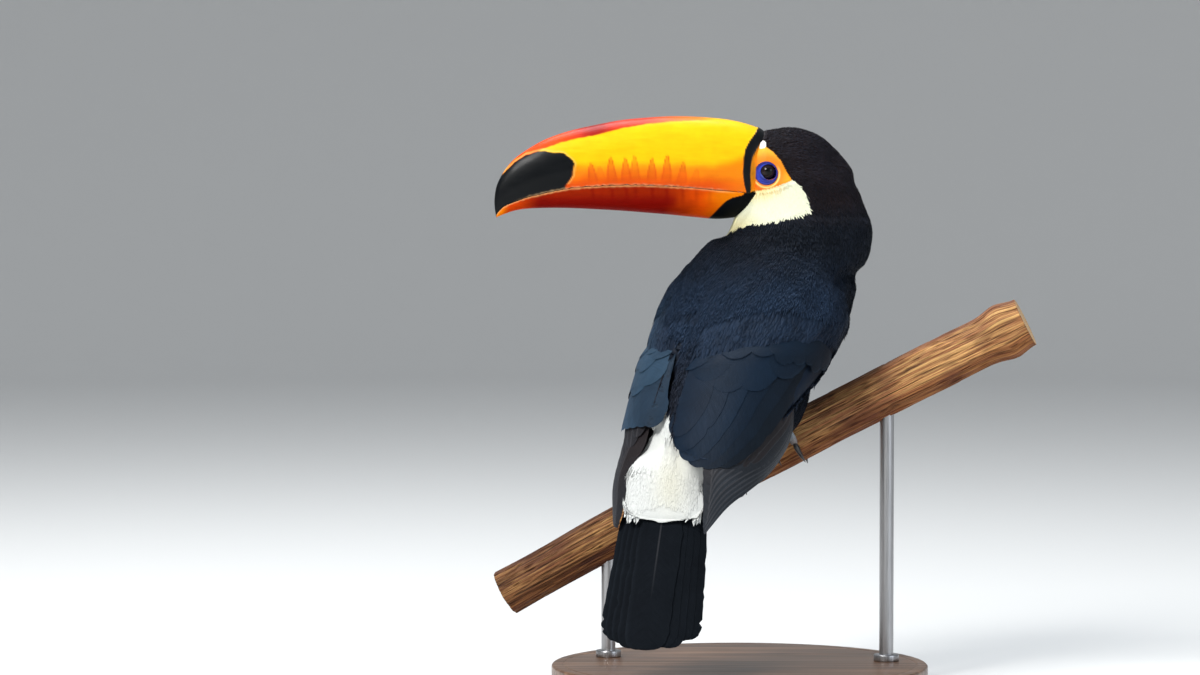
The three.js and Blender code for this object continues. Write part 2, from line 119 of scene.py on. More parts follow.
def grain(points, size, seed=0.0):
    # smooth noise from -1 to 1 at each point, with lumps about size millimetres across
    offset = Vector((seed * 17.3, seed * 5.1, seed * 9.7))
    return np.array([noise.noise(Vector(p) / size + offset) for p in points])


def treeOf(points, polygons):
    return BVHTree.FromPolygons([Vector(p) for p in points], [tuple(f.vertices) for f in polygons])


def unit(v):
    return v / np.maximum(np.linalg.norm(v, axis=-1, keepdims=True), 1e-9)


# making meshes

def deselect():
    for one in bpy.context.view_layer.objects:
        one.select_set(False)


def activate(piece):
    deselect()
    piece.select_set(True)
    bpy.context.view_layer.objects.active = piece


def apply(piece, kind, **settings):
    # one modifier, set up and applied
    activate(piece)
    modifier = piece.modifiers.new(kind, kind)
    for key, value in settings.items():
        setattr(modifier, key, value)
    bpy.ops.object.modifier_apply(modifier=modifier.name)


def meshPiece(name, points, faces, tones=None, uvs=None):
    # a smooth mesh from arrays: points in millimetres, faces of one size, a tone for each point, maps with
    # a place for each point or for each corner
    faces = np.asarray(faces, np.int32)
    mesh = bpy.data.meshes.new(name)
    mesh.vertices.add(len(points))
    setPoints(mesh, points)
    mesh.loops.add(faces.size)
    mesh.loops.foreach_set("vertex_index", faces.ravel())
    mesh.polygons.add(len(faces))
    mesh.polygons.foreach_set("loop_start", np.arange(0, faces.size, faces.shape[1], dtype=np.int32))
    mesh.polygons.foreach_set("use_smooth", np.ones(len(faces), bool))
    mesh.update(calc_edges=True)
    for key, values in (uvs or {}).items():
        values = np.asarray(values, np.float32)
        if len(values) == len(points):
            values = values[faces.ravel()]
        mesh.uv_layers.new(name=key).data.foreach_set("uv", values.ravel())
    if tones is not None:
        paint(mesh, tones)
    piece = bpy.data.objects.new(name, mesh)
    bpy.context.scene.collection.objects.link(piece)
    return piece


def paint(mesh, tones):
    layer = mesh.color_attributes.get("tone") or mesh.color_attributes.new("tone", "FLOAT_COLOR", "POINT")
    rgba = np.ones((len(tones), 4), np.float32)
    rgba[:, :3] = tones
    layer.data.foreach_set("color", rgba.ravel())


def read(items, key, wide, kind=np.float32):
    # one field of all the items of a mesh, as rows
    out = np.empty(len(items) * wide, kind)
    items.foreach_get(key, out)
    return out.reshape(-1, wide)


def pointsOf(mesh):
    return read(mesh.vertices, "co", 3).astype(float) / mm


def normalsOf(mesh):
    return read(mesh.vertices, "normal", 3).astype(float)


def setPoints(mesh, points):
    mesh.vertices.foreach_set("co", (np.asarray(points) * mm).astype(np.float32).ravel())
    mesh.update()


def dress(piece, material, replaced=()):
    piece.data.materials.clear()
    piece.data.materials.append(material)
    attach(piece, "root")
    if replaced:
        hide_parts(*replaced)
    return piece


def gridFaces(rows, columns, closed=False):
    # quads over a grid of points, rows by columns, wrapping round when closed
    last = columns if closed else columns - 1
    i, j = np.meshgrid(np.arange(rows - 1), np.arange(last), indexing="ij")
    k = (j + 1) % columns
    quads = np.stack([i * columns + j, i * columns + k, (i + 1) * columns + k, (i + 1) * columns + j], -1)
    return quads.reshape(-1, 4)


def triangles(quads):
    return np.concatenate([quads[:, [0, 1, 2]], quads[:, [0, 2, 3]]])


def turnsOf(around):
    # angles once round a ring
    return np.linspace(0, 2 * math.pi, around, endpoint=False)


def tubePiece(name, rings, tones):
    # a closed tube from rings of points, with a fan over each end
    rows, around = rings.shape[:2]
    points = np.concatenate([rings.reshape(-1, 3), rings[0].mean(0)[None], rings[-1].mean(0)[None]])
    j = np.arange(around)
    k = (j + 1) % around
    first = np.stack([np.full(around, len(points) - 2), k, j], -1)
    last = np.stack([np.full(around, len(points) - 1), (rows - 1) * around + j, (rows - 1) * around + k], -1)
    faces = np.concatenate([triangles(gridFaces(rows, around, closed=True)), first, last])
    tones = np.concatenate([tones, tones[:around].mean(0)[None], tones[-around:].mean(0)[None]])
    piece = meshPiece(name, points, faces, tones)
    outward(piece)
    return piece


def edited(mesh, change):
    # a mesh changed by a function of its editable copy
    work = bmesh.new()
    work.from_mesh(mesh)
    change(work)
    work.to_mesh(mesh)
    work.free()


def outward(piece):
    # faces turned to point out of a closed mesh
    def turned(work):
        if work.calc_volume(signed=True) < 0:
            bmesh.ops.reverse_faces(work, faces=work.faces)
    edited(piece.data, turned)


print("frame and tools ready")


# materials

def newMaterial(name, roughness, specular, sheen=0.0, sheenTint=(1, 1, 1), coat=0.0, coatRoughness=0.1,
                soft=0.0):
    material = bpy.data.materials.new(name)
    material.use_nodes = True
    shader = material.node_tree.nodes["Principled BSDF"]
    settings = {
        "Roughness": roughness, "Specular IOR Level": specular, "Sheen Weight": sheen,
        "Sheen Tint": (*sheenTint, 1), "Sheen Roughness": 0.45,
        "Coat Weight": coat, "Coat Roughness": coatRoughness,
    }
    if soft:
        settings.update({"Subsurface Weight": soft, "Subsurface Radius": (0.004, 0.002, 0.001),
                         "Subsurface Scale": 1.0})
    for key, value in settings.items():
        shader.inputs[key].default_value = value
    return material, material.node_tree, shader


def node(tree, kind, settings=None, **inputs):
    # one shader node: settings are its own fields, inputs its sockets by name
    made = tree.nodes.new("ShaderNode" + kind)
    for key, value in (settings or {}).items():
        setattr(made, key, value)
    for key, value in inputs.items():
        feed(tree, made.inputs[key], value)
    return made


def feed(tree, socket, value):
    # a socket linked to another, or set to a value
    if isinstance(value, bpy.types.NodeSocket):
        tree.links.new(value, socket)
    else:
        socket.default_value = value


def objectPoints(tree, scale=(1, 1, 1), turn=(0, 0, 0)):
    where = node(tree, "TexCoord").outputs["Object"]
    return node(tree, "Mapping", Vector=where, Scale=scale, Rotation=turn).outputs[0]


def noiseOf(tree, points, scale, detail=3.0, rough=0.55, distortion=0.0):
    made = node(tree, "TexNoise", Vector=points, Scale=scale, Detail=detail, Roughness=rough,
                Distortion=distortion)
    return made.outputs["Fac"]


def mapOf(tree, name):
    return node(tree, "UVMap", {"uv_map": name}).outputs[0]


def ranged(tree, value, low, high, toLow, toHigh):
    made = node(tree, "MapRange", Value=value)
    for key, number in zip(("From Min", "From Max", "To Min", "To Max"), (low, high, toLow, toHigh)):
        made.inputs[key].default_value = number
    return made.outputs[0]


def varied(tree, fac, low, high):
    # a noise's usual span stretched to run from low to high
    return ranged(tree, fac, 0.3, 0.7, low, high)


def toneOf(tree):
    return node(tree, "Attribute", {"attribute_name": "tone"}).outputs["Color"]


def brightened(tree, colour, by):
    # a colour made lighter or darker by a number
    made = node(tree, "VectorMath", {"operation": "SCALE"}, Scale=by)
    tree.links.new(colour, made.inputs[0])
    return made.outputs[0]


def mixed(tree, share, a, b):
    made = node(tree, "Mix", {"data_type": "RGBA"})
    # inputs 6 and 7 of this node are its two colours
    for socket, value in ((made.inputs[0], share), (made.inputs[6], a), (made.inputs[7], b)):
        feed(tree, socket, (*value, 1) if isinstance(value, tuple) else value)
    return made.outputs[2]


def figured(tree, operation, a, b=0.5):
    made = node(tree, "Math", {"operation": operation})
    feed(tree, made.inputs[0], a)
    feed(tree, made.inputs[1], b)
    return made.outputs[0]


def times(tree, a, b):
    return figured(tree, "MULTIPLY", a, b)


def plus(tree, a, b):
    return figured(tree, "ADD", a, b)


def finished(tree, shader, colour, roughness=None, bump=None):
    # bump is a height, its strength and its distance in metres
    tree.links.new(colour, shader.inputs["Base Color"])
    if roughness:
        tree.links.new(roughness, shader.inputs["Roughness"])
    if bump:
        made = node(tree, "Bump", Height=bump[0], Strength=bump[1], Distance=bump[2])
        tree.links.new(made.outputs[0], shader.inputs["Normal"])


def coatMaterial(name, roughness, specular, sheen, sheenTint, lumps=0.25):
    # small feathers: their own tone, a little uneven, with fine barbs in the bump
    material, tree, shader = newMaterial(name, roughness, specular, sheen, sheenTint)
    where = objectPoints(tree)
    patches = varied(tree, noiseOf(tree, where, 70), 1 - lumps, 1 + lumps)
    fine = noiseOf(tree, where, 900, detail=2)
    barbs = varied(tree, fine, 0.98 - 0.65 * lumps, 1.01 + 0.6 * lumps)
    finished(tree, shader, brightened(tree, brightened(tree, toneOf(tree), patches), barbs),
             varied(tree, fine, roughness - 0.06, roughness + 0.08), (fine, min(0.2, 0.04 + lumps), 0.0003))
    return material


def quillMaterial(name, roughness, specular, sheen, sheenTint, quill, fade=(0.5, 0.6), barbs=0.0011):
    # large feathers: barbs slant away from the shaft on both sides, read from the map named Vane in metres;
    # the shaft's pale line is lost over the stretch named fade
    material, tree, shader = newMaterial(name, roughness, specular, sheen, sheenTint)
    split = node(tree, "SeparateXYZ", Vector=mapOf(tree, "Vane"))
    across, along = figured(tree, "ABSOLUTE", split.outputs[0]), split.outputs[1]
    lie = figured(tree, "SUBTRACT", along, times(tree, across, 0.8))
    where = objectPoints(tree)
    wander = times(tree, noiseOf(tree, where, 240, detail=2), 0.0016)
    lines = figured(tree, "SINE", times(tree, plus(tree, lie, wander), 2 * math.pi / barbs))
    stretched = node(tree, "CombineXYZ", X=times(tree, lie, 1800), Y=times(tree, across, 90)).outputs[0]
    paler, darker = 1.15, 0.84
    strand = varied(tree, noiseOf(tree, stretched, 1.0), darker, paler)
    shaft = times(tree, ranged(tree, across, 0.0002, 0.0009, 1.0, 0.0), ranged(tree, along, *fade, 1.0, 0.0))
    patches = varied(tree, noiseOf(tree, where, 45), 0.86, 1.14)
    colour = brightened(tree, brightened(tree, toneOf(tree), strand), patches)
    height = plus(tree, times(tree, lines, 0.35), times(tree, shaft, 5.0 * quill))
    finished(tree, shader, mixed(tree, times(tree, shaft, quill), colour, (0.10, 0.10, 0.11)),
             ranged(tree, strand, darker, paler, roughness + 0.07, roughness - 0.05), (height, 0.30, 0.0003))
    return material


# markings of the head, in millimetres ahead of the bill's base and above it

headSlant = (0.9945, 0.1045)  # the cosine and sine of six degrees, by which the marks run back on each side


def headPlace(points):
    local = localOf(headFrame, points)
    return headSlant[0] * local[:, 1] - headSlant[1] * np.abs(local[:, 0]), local[:, 2], local[:, 0]


marks = {
    # distance ahead for each height: the two edges of the black band round the bill's base
    "bandHeight": [-30, -4, -0.9, 3.5, 10.5, 17.5, 22.8, 28, 34, 39.5, 48],
    "bandRear": [9, 4.2, 3.4, 3.4, 3.9, 3.4, 2.1, -0.9, -5.0, -7.3, -9],
    "bandFront": [12, 7.2, 6.9, 8.2, 9.2, 9.1, 8.7, 7.6, 4.4, 0.2, -4.5],
    # height for each distance ahead: top and foot of the bare skin, and the bib's edges
    "bareAhead": [-25, -21.1, -17.6, -12.3, -7, -3, 6],
    "bareTop": [6.8, 13.1, 20.1, 26.2, 30.2, 33, 36],
    "bareFootAhead": [-25, -18.5, -12.3, -5.3, 1.2, 8],
    "bareFoot": [6.6, 3.9, 1.6, -0.2, -1.0, -1.2],
    "bibAhead": [-37.2, -35.4, -32.8, -28.4, -24.6, -18.5, -12.3, -5.3, 1.2, 30],
    "bibTop": [-14.8, -9.1, -1.2, 4.6, 6.8, 3.9, 1.6, -0.2, -1.0, -1.2],
    # by height above the ground: the neck's middle, and the turn and the span of the white on the breast
    "neckHeight": [250, 276, 299, 318, 336], "neckX": [6, 19, 33, 43, 44], "neckY": [8, 20, 29, 33, 32],
    "breastHeight": [256, 268, 290, 315, 336], "breastTurn": [58, 66, 84, 118, 145],
    "breastSpan": [12, 34, 52, 60, 66],
    "bibFootAhead": [-37.2, -25.8, -14.4, 2.2, 16.5, 30],
    "bibFoot": [-13.6, -17.2, -20.2, -22.8, -26.6, -32.0],
    # middle and half size of the eye's place, and of the pale spot above it
    "eyeAt": (-7.2, 11.4, 8.6, 9.2), "spotAt": (-4.4, 31.6, 2.9, 2.9),
}
tones = {
    # the mantle's blue is a painted sheen of the sky; the left shoulder's tone is painted sky light
    "cap": (0.0105, 0.0062, 0.0066), "neck": (0.0052, 0.0070, 0.0108), "mantle": (0.0115, 0.0225, 0.0450),
    "lowerBack": (0.0100, 0.0120, 0.0190), "paintedSkyLight": (0.022, 0.046, 0.078),
    "bib": (0.76, 0.78, 0.58), "bibWarm": (0.76, 0.71, 0.38), "bibEdge": (0.90, 0.58, 0.16),
    # the rump's second tone is a yellowish painted shadow of the right wing
    "rump": (0.61, 0.63, 0.62), "rumpShadowTint": (0.64, 0.63, 0.52), "vent": (0.46, 0.012, 0.010),
    "bare": (0.84, 0.30, 0.010), "bareDeep": (0.70, 0.11, 0.012), "bareLight": (0.90, 0.56, 0.08),
    "eyeRim": (0.93, 0.72, 0.22), "spot": (0.88, 0.87, 0.80),
}


def nodeTree(name):
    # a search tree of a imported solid, in millimetres
    mesh = frame["nodes"][name].data
    return treeOf(pointsOf(mesh), mesh.polygons)


def nearNode(tree, points, reach):
    return np.array([tree.find_nearest(Vector(p), reach)[0] is not None for p in points])


def marked(x, places, values):
    return np.interp(x, marks[places], marks[values])


def awayFrom(key, ahead, above):
    # distance from a mark's middle, in its own half sizes
    x, y, wide, tall = marks[key]
    return (ahead - x) / wide, (above - y) / tall


rumpTree, ventTree = nodeTree("rump"), nodeTree("undertail")
rumpEnd = localOf(tailFrame, pointsOf(frame["nodes"]["rump"].data))[:, 1].min()
zones = {"dark": 0, "bib": 1, "bare": 2, "rump": 3, "vent": 4, "cap": 5}


def darkTone(points, above):
    # neck, mantle with a painted blue sheen of the sky, lower back and cap, and painted sky light on the left
    # shoulder where it catches the light of the sky
    x, y, z = localOf(trunkFrame, points).T
    tone = np.tile(tones["neck"], (len(points), 1))
    # painted blue sheen of the sky over the upper back
    tone = mix(tone, tones["mantle"], ease(-30, -75, above) * ease(-30, 10, z))
    back = ease(4, -40, y) * ease(10, 40, z) * ease(24, 8, np.abs(x + 3))
    tone = mix(tone, tones["lowerBack"], back)
    # painted sky light on the left shoulder
    paintedSkyLight = ease(-24, -50, x) * ease(52, 12, y) * ease(-24, 6, z) * (y > -80)
    tone = mix(tone, tones["paintedSkyLight"], 0.75 * paintedSkyLight)
    return mix(tone, tones["cap"], ease(-24, -2, above))


def markBib(points, place, zone, tone):
    ahead, above, aside = place
    rise = above - marked(ahead, "bibAhead", "bibTop")
    ragged = 0.9 * np.sin(ahead * 2.1 + above * 1.3) * np.sin(ahead * 0.9 - above * 2.4)
    foot = marked(ahead, "bibFootAhead", "bibFoot") + 0.5 * ragged
    bib = (above > -60) & (ahead > marks["bibAhead"][0]) & (rise < 0.5) & (above > foot)
    bib &= (ahead < 17.5 + 0.5 * ragged) | (above > -20) | (aside > 2)
    # the white runs on round the hidden side of the neck to the breast, and ends in a thin red line
    height = points[:, 2]
    middle = np.stack([marked(height, "neckHeight", key) for key in ("neckX", "neckY")], 1)
    away = points[:, :2] - middle
    turned = np.degrees(np.arctan2(away[:, 1], away[:, 0])) - marked(height, "breastHeight", "breastTurn")
    inner = (marked(height, "breastHeight", "breastSpan") - np.abs((turned + 180) % 360 - 180)) * 0.7
    inner = np.minimum(inner, (height - marks["breastHeight"][0]) * 0.8) + 1.2 * ragged
    throat = (above < -14) & (inner > 0) & (height > 240)
    fringe = throat & (inner < 2.6) & (height < 305)
    bib |= throat
    warm = ease(-8, 14, ahead) * ease(-10, -26, above)
    warm = np.clip(warm + 0.8 * ease(-7, 1, rise + 2) * ease(-22, -6, ahead), 0, 1)
    edge = 0.6 * ease(-3.6, 1.2, rise) * ease(-24, -12, ahead)
    tone[bib] = mix(mix(tones["bib"], tones["bibWarm"], warm), tones["bibEdge"], edge)[bib]
    zone[bib] = zones["bib"]
    zone[fringe], tone[fringe] = zones["vent"], tones["vent"]


def markBare(place, zone, tone):
    # the bare skin round the eye, deepest in colour next to the blue ring
    ahead, above, _ = place
    head = above > -60
    foot, top = marked(ahead, "bareFootAhead", "bareFoot"), marked(ahead, "bareAhead", "bareTop")
    bare = head & (above > foot) & (above < top)
    bare &= (ahead > -25) & (ahead < marked(above, "bandHeight", "bandRear") + 4)
    across, up = awayFrom("eyeAt", ahead, above)
    around = np.hypot(across, up)
    deep = ease(1.9, 1.1, around) * (0.55 + 0.45 * ease(6, -4, above - 6 - 0.3 * ahead))
    bareTone = mix(tones["bare"], tones["bareLight"], ease(12, 30, above) * 0.35)
    rim = hump(around, 1.07, 0.07) * ease(0.5, -0.5, up + 0.35 * across)
    tone[bare] = mix(mix(bareTone, tones["bareDeep"], deep), tones["eyeRim"], rim * 0.8)[bare]
    spot = head & (np.hypot(*awayFrom("spotAt", ahead, above)) < 1)
    tone[spot] = tones["spot"]
    zone[bare | spot] = zones["bare"]


def markTail(points, zone, tone):
    # the white over the tail and the red under it, within reach of their own solids
    local = localOf(tailFrame, points)
    near = np.nonzero((localOf(trunkFrame, points)[:, 1] < -30) | (local[:, 1] < 30))[0]
    if not len(near):
        return
    red = near[nearNode(ventTree, points[near], 3.4)]
    red = red[np.abs(local[red, 0]) < 15]
    zone[red], tone[red] = zones["vent"], tones["vent"]
    white = near[nearNode(rumpTree, points[near], 5.0)]
    x, y, _ = local[white].T
    # a yellowish painted shadow of the right wing over the white
    tone[white] = mix(tones["rump"], tones["rumpShadowTint"], 0.75 * hump(x, 8, 12) * hump(y, -6, 22))
    zone[white] = zones["rump"]


def markings(points):
    # the zone and the tone of each point of the skin or the coat
    place = headPlace(points)
    above = place[1]
    zone, tone = np.zeros(len(points), int), darkTone(points, above)
    zone[ease(-24, -2, above) > 0.4] = zones["cap"]
    markBib(points, place, zone, tone)
    markBare(place, zone, tone)
    markTail(points, zone, tone)
    return zone, tone


# folded wings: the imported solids' own smooth surface, read at degrees round the trunk and distance ahead
foldedWings = {
    "ahead": [84, 66, 36, 0, -40, -80, -112, -136, -154],
    "wide": [0.74, 1.01, 1.11, 1.09, 1.04, 0.98, 0.9, 0.78, 0.62],
    "tall": [0.7, 0.92, 1, 0.98, 0.9, 0.76, 0.58, 0.4, 0.3],
    "under": [0.7, 0.96, 1.06, 1.02, 0.92, 0.74, 0.54, 0.38, 0.28],
    "halfWidth": 68, "halfHeight": 60,
}
shield = {
    "ahead": [82, 70, 38, 4, -28, -58, -91, -104], "middle": [12, 14, 19, 25, 30, 35, 40, 43],
    "reach": [0, 40, 58, 58, 50, 43, 33, 0],
}
# besideRump: places behind, and the degrees at which the long feathers end beside the white
wings = {
    "right": {"sign": 1, "raised": 8, "inner": 81, "besideRump": ([104, 113, 126, 138], [34, 32, 28, 22])},
    "left": {"sign": -1, "raised": 4, "inner": 87,
             "besideRump": ([84, 97, 113, 125, 137], [60, 55, 47, 39, 33])},
}


def wingShare(key, y):
    places = np.interp(-np.asarray(y, float), [-v for v in foldedWings["ahead"]], np.arange(9.0))
    return smoothLine(np.arange(9.0), foldedWings[key], places)


def wingSize(y, upper, out=0.0):
    # half width and half height of the folded wings at a place along the trunk
    wide = wingShare("wide", y) * foldedWings["halfWidth"] + out
    share = np.where(upper, wingShare("tall", y), wingShare("under", y))
    return wide, share * foldedWings["halfHeight"] + out


def wingPoint(sign, turn, y, out):
    angle = np.radians(turn)
    wide, tall = wingSize(y, angle > 0, out)
    return placed(trunkFrame, np.stack([sign * wide * np.cos(angle), y + 0 * wide, tall * np.sin(angle)], -1))


def shieldReach(name, y):
    backward = [-v for v in shield["ahead"]]
    middle = np.interp(-y, backward, shield["middle"]) + wings[name]["raised"]
    reach = np.interp(-y, backward, shield["reach"])
    return middle - reach, middle + reach


def wingPlace(points, wing):
    # degrees round the trunk on one side, for points in the model
    x, y, z = localOf(trunkFrame, points).T
    wide, tall = wingSize(y, z > 0)
    return np.degrees(np.arctan2(z / tall, x * wing["sign"] / wide)), y, x * wing["sign"] > 0


def coatFront(name, turn):
    # how far back the small feathers reach over the wing
    front = np.interp(turn, [-30, 0, 30, 50, 70, 90], [44, 30, 9, -3, -12, -14])
    return front + (0 if name == "right" else 6)


def underWing(points):
    # whether the large feathers of a wing lie over each point of the skin, how short its small feathers are
    # beside them, and how far it is pressed down
    count = len(points)
    covered, short, pressed = np.zeros(count, bool), np.ones(count), np.zeros(count)
    for name, wing in wings.items():
        turn, y, side = wingPlace(points, wing)
        low, _ = shieldReach(name, y)
        ragged = 5 * grain(points, 4.5, 2)
        front = coatFront(name, turn) + ragged
        beneath = side & (y > -98) & (turn > low + 6) & (turn < wing["inner"] + 0.4 * ragged)
        covered |= beneath & (y < front)
        down = ease(-3, -15, y - front) * ease(-98, -84, y) * ease(low + 8, low + 20, turn)
        pressed = np.where(beneath, np.maximum(pressed, down), pressed)
        short = np.where(beneath, np.minimum(short, 0.55 + 0.45 * ease(0, 12, y - front)), short)
        # and the long ones beside the white of the rump
        behind = np.interp(-y, *wing["besideRump"])
        under = np.interp(-y, [78, 100, 131, 146], [-20, -8, 4, 18])
        covered |= side & (y < -wing["besideRump"][0][0]) & (y > -150) & (turn < behind) & (turn > under)
    return covered, short, pressed


# the skin

skinSettings = {
    "voxel": 2.1, "swelling": 0.45, "smoothing": 6, "coatDepth": 2.2, "bareDepth": 1.1, "wingDepth": 1.7,
    "leftWingEnd": -72, "merge": 1e-5,
}
# how far the skin is moved out at each place of the head and neck, in millimetres, inwards where negative
bulges = {"nape": 3.8, "top": 2.6, "crown": -4.4, "throat": -5.5, "notch": -5.0, "flank": 4.8,
          "trench": -6.8, "rump": 4.2}
fleshNodes = ["trunk", "neck", "head", "rump", "undertail", "right_thigh", "left_thigh", "right_wing",
              "left_wing"]


def makeSkin():
    work = bmesh.new()
    merge = skinSettings["merge"]
    for name in fleshNodes:
        one = bmesh.new()
        one.from_mesh(frame["nodes"][name].data)
        if name == "left_wing":
            # its thin rear end is left to the long feathers
            cut = placed(trunkFrame, (0, skinSettings["leftWingEnd"], 0)) * mm
            bmesh.ops.remove_doubles(one, verts=one.verts, dist=merge)
            made = bmesh.ops.bisect_plane(one, geom=one.verts[:] + one.edges[:] + one.faces[:], plane_co=cut,
                                          plane_no=-trunkFrame[:3, 1], clear_outer=True)
            rim = [e for e in made["geom_cut"] if isinstance(e, bmesh.types.BMEdge)]
            bmesh.ops.holes_fill(one, edges=rim)
        mesh = bpy.data.meshes.new("part")
        one.to_mesh(mesh)
        one.free()
        work.from_mesh(mesh)
        bpy.data.meshes.remove(mesh)
    bmesh.ops.remove_doubles(work, verts=work.verts, dist=merge)
    mesh = bpy.data.meshes.new("skin")
    work.to_mesh(mesh)
    work.free()
    skin = bpy.data.objects.new("skin", mesh)
    bpy.context.scene.collection.objects.link(skin)
    # swollen a little so that the parted solids meet, then made one surface
    apply(skin, "DISPLACE", strength=skinSettings["swelling"] * mm, mid_level=0.0)
    activate(skin)
    skin.data.remesh_voxel_size = skinSettings["voxel"] * mm
    bpy.ops.object.voxel_remesh()
    apply(skin, "SMOOTH", factor=0.6, iterations=skinSettings["smoothing"])
    return skin


def faceRefined(skin):
    # finer faces over the bare skin of both cheeks, where wrinkles and edges show
    ahead, above, aside = headPlace(pointsOf(skin.data))
    fine = (ahead > -32) & (ahead < 12) & (above > -6) & (above < 40) & (np.abs(aside) > 9)

    def refined(work):
        work.verts.ensure_lookup_table()
        edges = [e for e in work.edges if fine[e.verts[0].index] and fine[e.verts[1].index]]
        bmesh.ops.subdivide_edges(work, edges=edges, cuts=2, use_grid_fill=True, smooth=0.6)
    edited(skin.data, refined)


def reshaped(skin):
    # plumage fills the trench between the wings and the nape, and lies close on the crown and below the chin
    points = pointsOf(skin.data)
    ahead, above, _ = headPlace(points)
    outer = ease(56, 78, points[:, 0])
    shapes = {
        "nape": hump(above, -28, 21) * ease(-52, -66, ahead),
        "top": hump(ahead, -27, 14) * ease(30, 41, above),
        "crown": hump(above, 25, 13) * ease(-42, -60, ahead),
        "throat": np.exp(-((ahead - 24) / 8) ** 2 - ((above + 27) / 7) ** 2) * (above > -60),
        "notch": hump(points[:, 2], 287, 6) * outer,
        "flank": hump(points[:, 2], 256, 15) * outer,
    }
    points += normalsOf(skin.data) * sum(bulges[key] * share for key, share in shapes.items())[:, None]
    x, y, z = localOf(trunkFrame, points).T
    floor = wingShare("tall", y) * foldedWings["halfHeight"] + bulges["trench"] - 0.025 * (x + 3) ** 2
    raised = np.maximum(floor - z, 0) * ease(14, 8, np.abs(x + 3) + 4 * (x < -3))
    raised = raised * ease(6, -8, y) * ease(-92, -78, y) * (z > 10)
    points += raised[:, None] * trunkFrame[:3, 2]
    # the white over the tail reaches a little further to the right than its solid
    x, y, z = localOf(tailFrame, points).T
    wider = ease(0, 14, x) * ease(rumpEnd + 40, rumpEnd + 16, y)
    wider *= (y > rumpEnd - 6) * (np.abs(z) < 26) * (x < 34)
    points += (bulges["rump"] * wider)[:, None] * tailFrame[:3, 0]
    setPoints(skin.data, points)


skin = makeSkin()
reshaped(skin)
faceRefined(skin)
skinPoints = pointsOf(skin.data)
bareShare = (markings(skinPoints)[0] == zones["bare"]).astype(float)
depth = skinSettings["coatDepth"] + (skinSettings["bareDepth"] - skinSettings["coatDepth"]) * bareShare
depth += skinSettings["wingDepth"] * underWing(skinPoints)[2]
setPoints(skin.data, skinPoints - normalsOf(skin.data) * depth[:, None])
apply(skin, "SMOOTH", factor=0.5, iterations=3)
skinPoints = pointsOf(skin.data)
skinTone = markings(skinPoints)[1]
# the skin under dark feathers is painted darker, as shade in the gaps between them; under pale ones it isn't
paint(skin.data, np.where((skinTone.max(1) > 0.3)[:, None], skinTone, skinTone * 0.7))
skin.data.polygons.foreach_set("use_smooth", np.ones(len(skin.data.polygons), bool))
print("skin", len(skin.data.polygons), "faces")


# the lie of the plumage: which way feathers point at samples over the body, those beside the middle of the
# head on both sides of it
headLie = [
    ((0, -4, 41), (0, -1, 0.12)), ((0, -28, 44), (0, -1, -0.1)), ((0, -56, 30), (0, -0.6, -0.8)),
    ((0, -70, 2), (0, -0.15, -1)), ((20, -3, 32), (0, -1, 0.05)), ((26, -34, 16), (0, -1, -0.3)),
    ((25, -28, -8), (0, -0.75, -0.65)), ((18, -4, -12), (0, -0.75, -0.65)), ((0, 8, -26), (0, -0.5, -0.85)),
    ((12, -4, -38), (0, -0.25, -1)), ((30, -46, -20), (0, -0.3, -1)),
]
# middle of the neck, its radius and the way down it
neckLie = [
    ((44, 32, 336), 38, (-0.05, 0, -1)), ((43, 33, 318), 43, (-0.2, -0.08, -1)),
    ((33, 29, 299), 50, (-0.4, -0.25, -0.9)),
    ((19, 20, 276), 55, (-0.45, -0.38, -0.8)), ((6, 8, 250), 54, (-0.4, -0.45, -0.8)),
]
tailLie = [(0, 0, 8), (18, -14, 5), (-18, -14, 5), (0, -30, 3), (0, -4, -20), (0, -30, -14)]
trunkLie = {"places": (50, 20, -10, -40, -66, -88), "halfWidth": 54, "halfHeight": 50}


def lieSamples():
    spots, ways = [], []
    sixths = np.radians(np.arange(0, 360, 60))
    for (x, y, z), way in headLie:
        for side in ((1, -1) if x else (1,)):
            spots.append(placed(headFrame, (side * x, y, z)))
            ways.append(np.array(way) @ headFrame[:3, :3].T)
    for middle, radius, way in neckLie:
        for turn in sixths:
            spots.append(np.array(middle) + radius * np.array([math.cos(turn), math.sin(turn), 0]))
            ways.append(np.array(way, float))
    behind, tailward = -trunkFrame[:3, 1], -tailFrame[:3, 1]
    wide, tall = trunkLie["halfWidth"], trunkLie["halfHeight"]
    for y in trunkLie["places"]:
        for turn in sixths:
            spots.append(placed(trunkFrame, (wide * math.cos(turn), y, tall * math.sin(turn))))
            ways.append(behind + tailward * float(ease(-30, -90, y)))
    for place in tailLie:
        spots.append(placed(tailFrame, place))
        ways.append(tailward)
    return np.array(spots), unit(np.array(ways))


lieSpots, lieWays = lieSamples()


def lieAt(points, normals, batch=20000):
    ways = np.empty_like(points)
    for i in range(0, len(points), batch):
        far = ((points[i:i + batch, None, :] - lieSpots[None]) ** 2).sum(-1)
        ways[i:i + batch] = (1 / (far + 90) ** 2) @ lieWays
    ways -= normals * (ways * normals).sum(1, keepdims=True)
    return unit(ways)


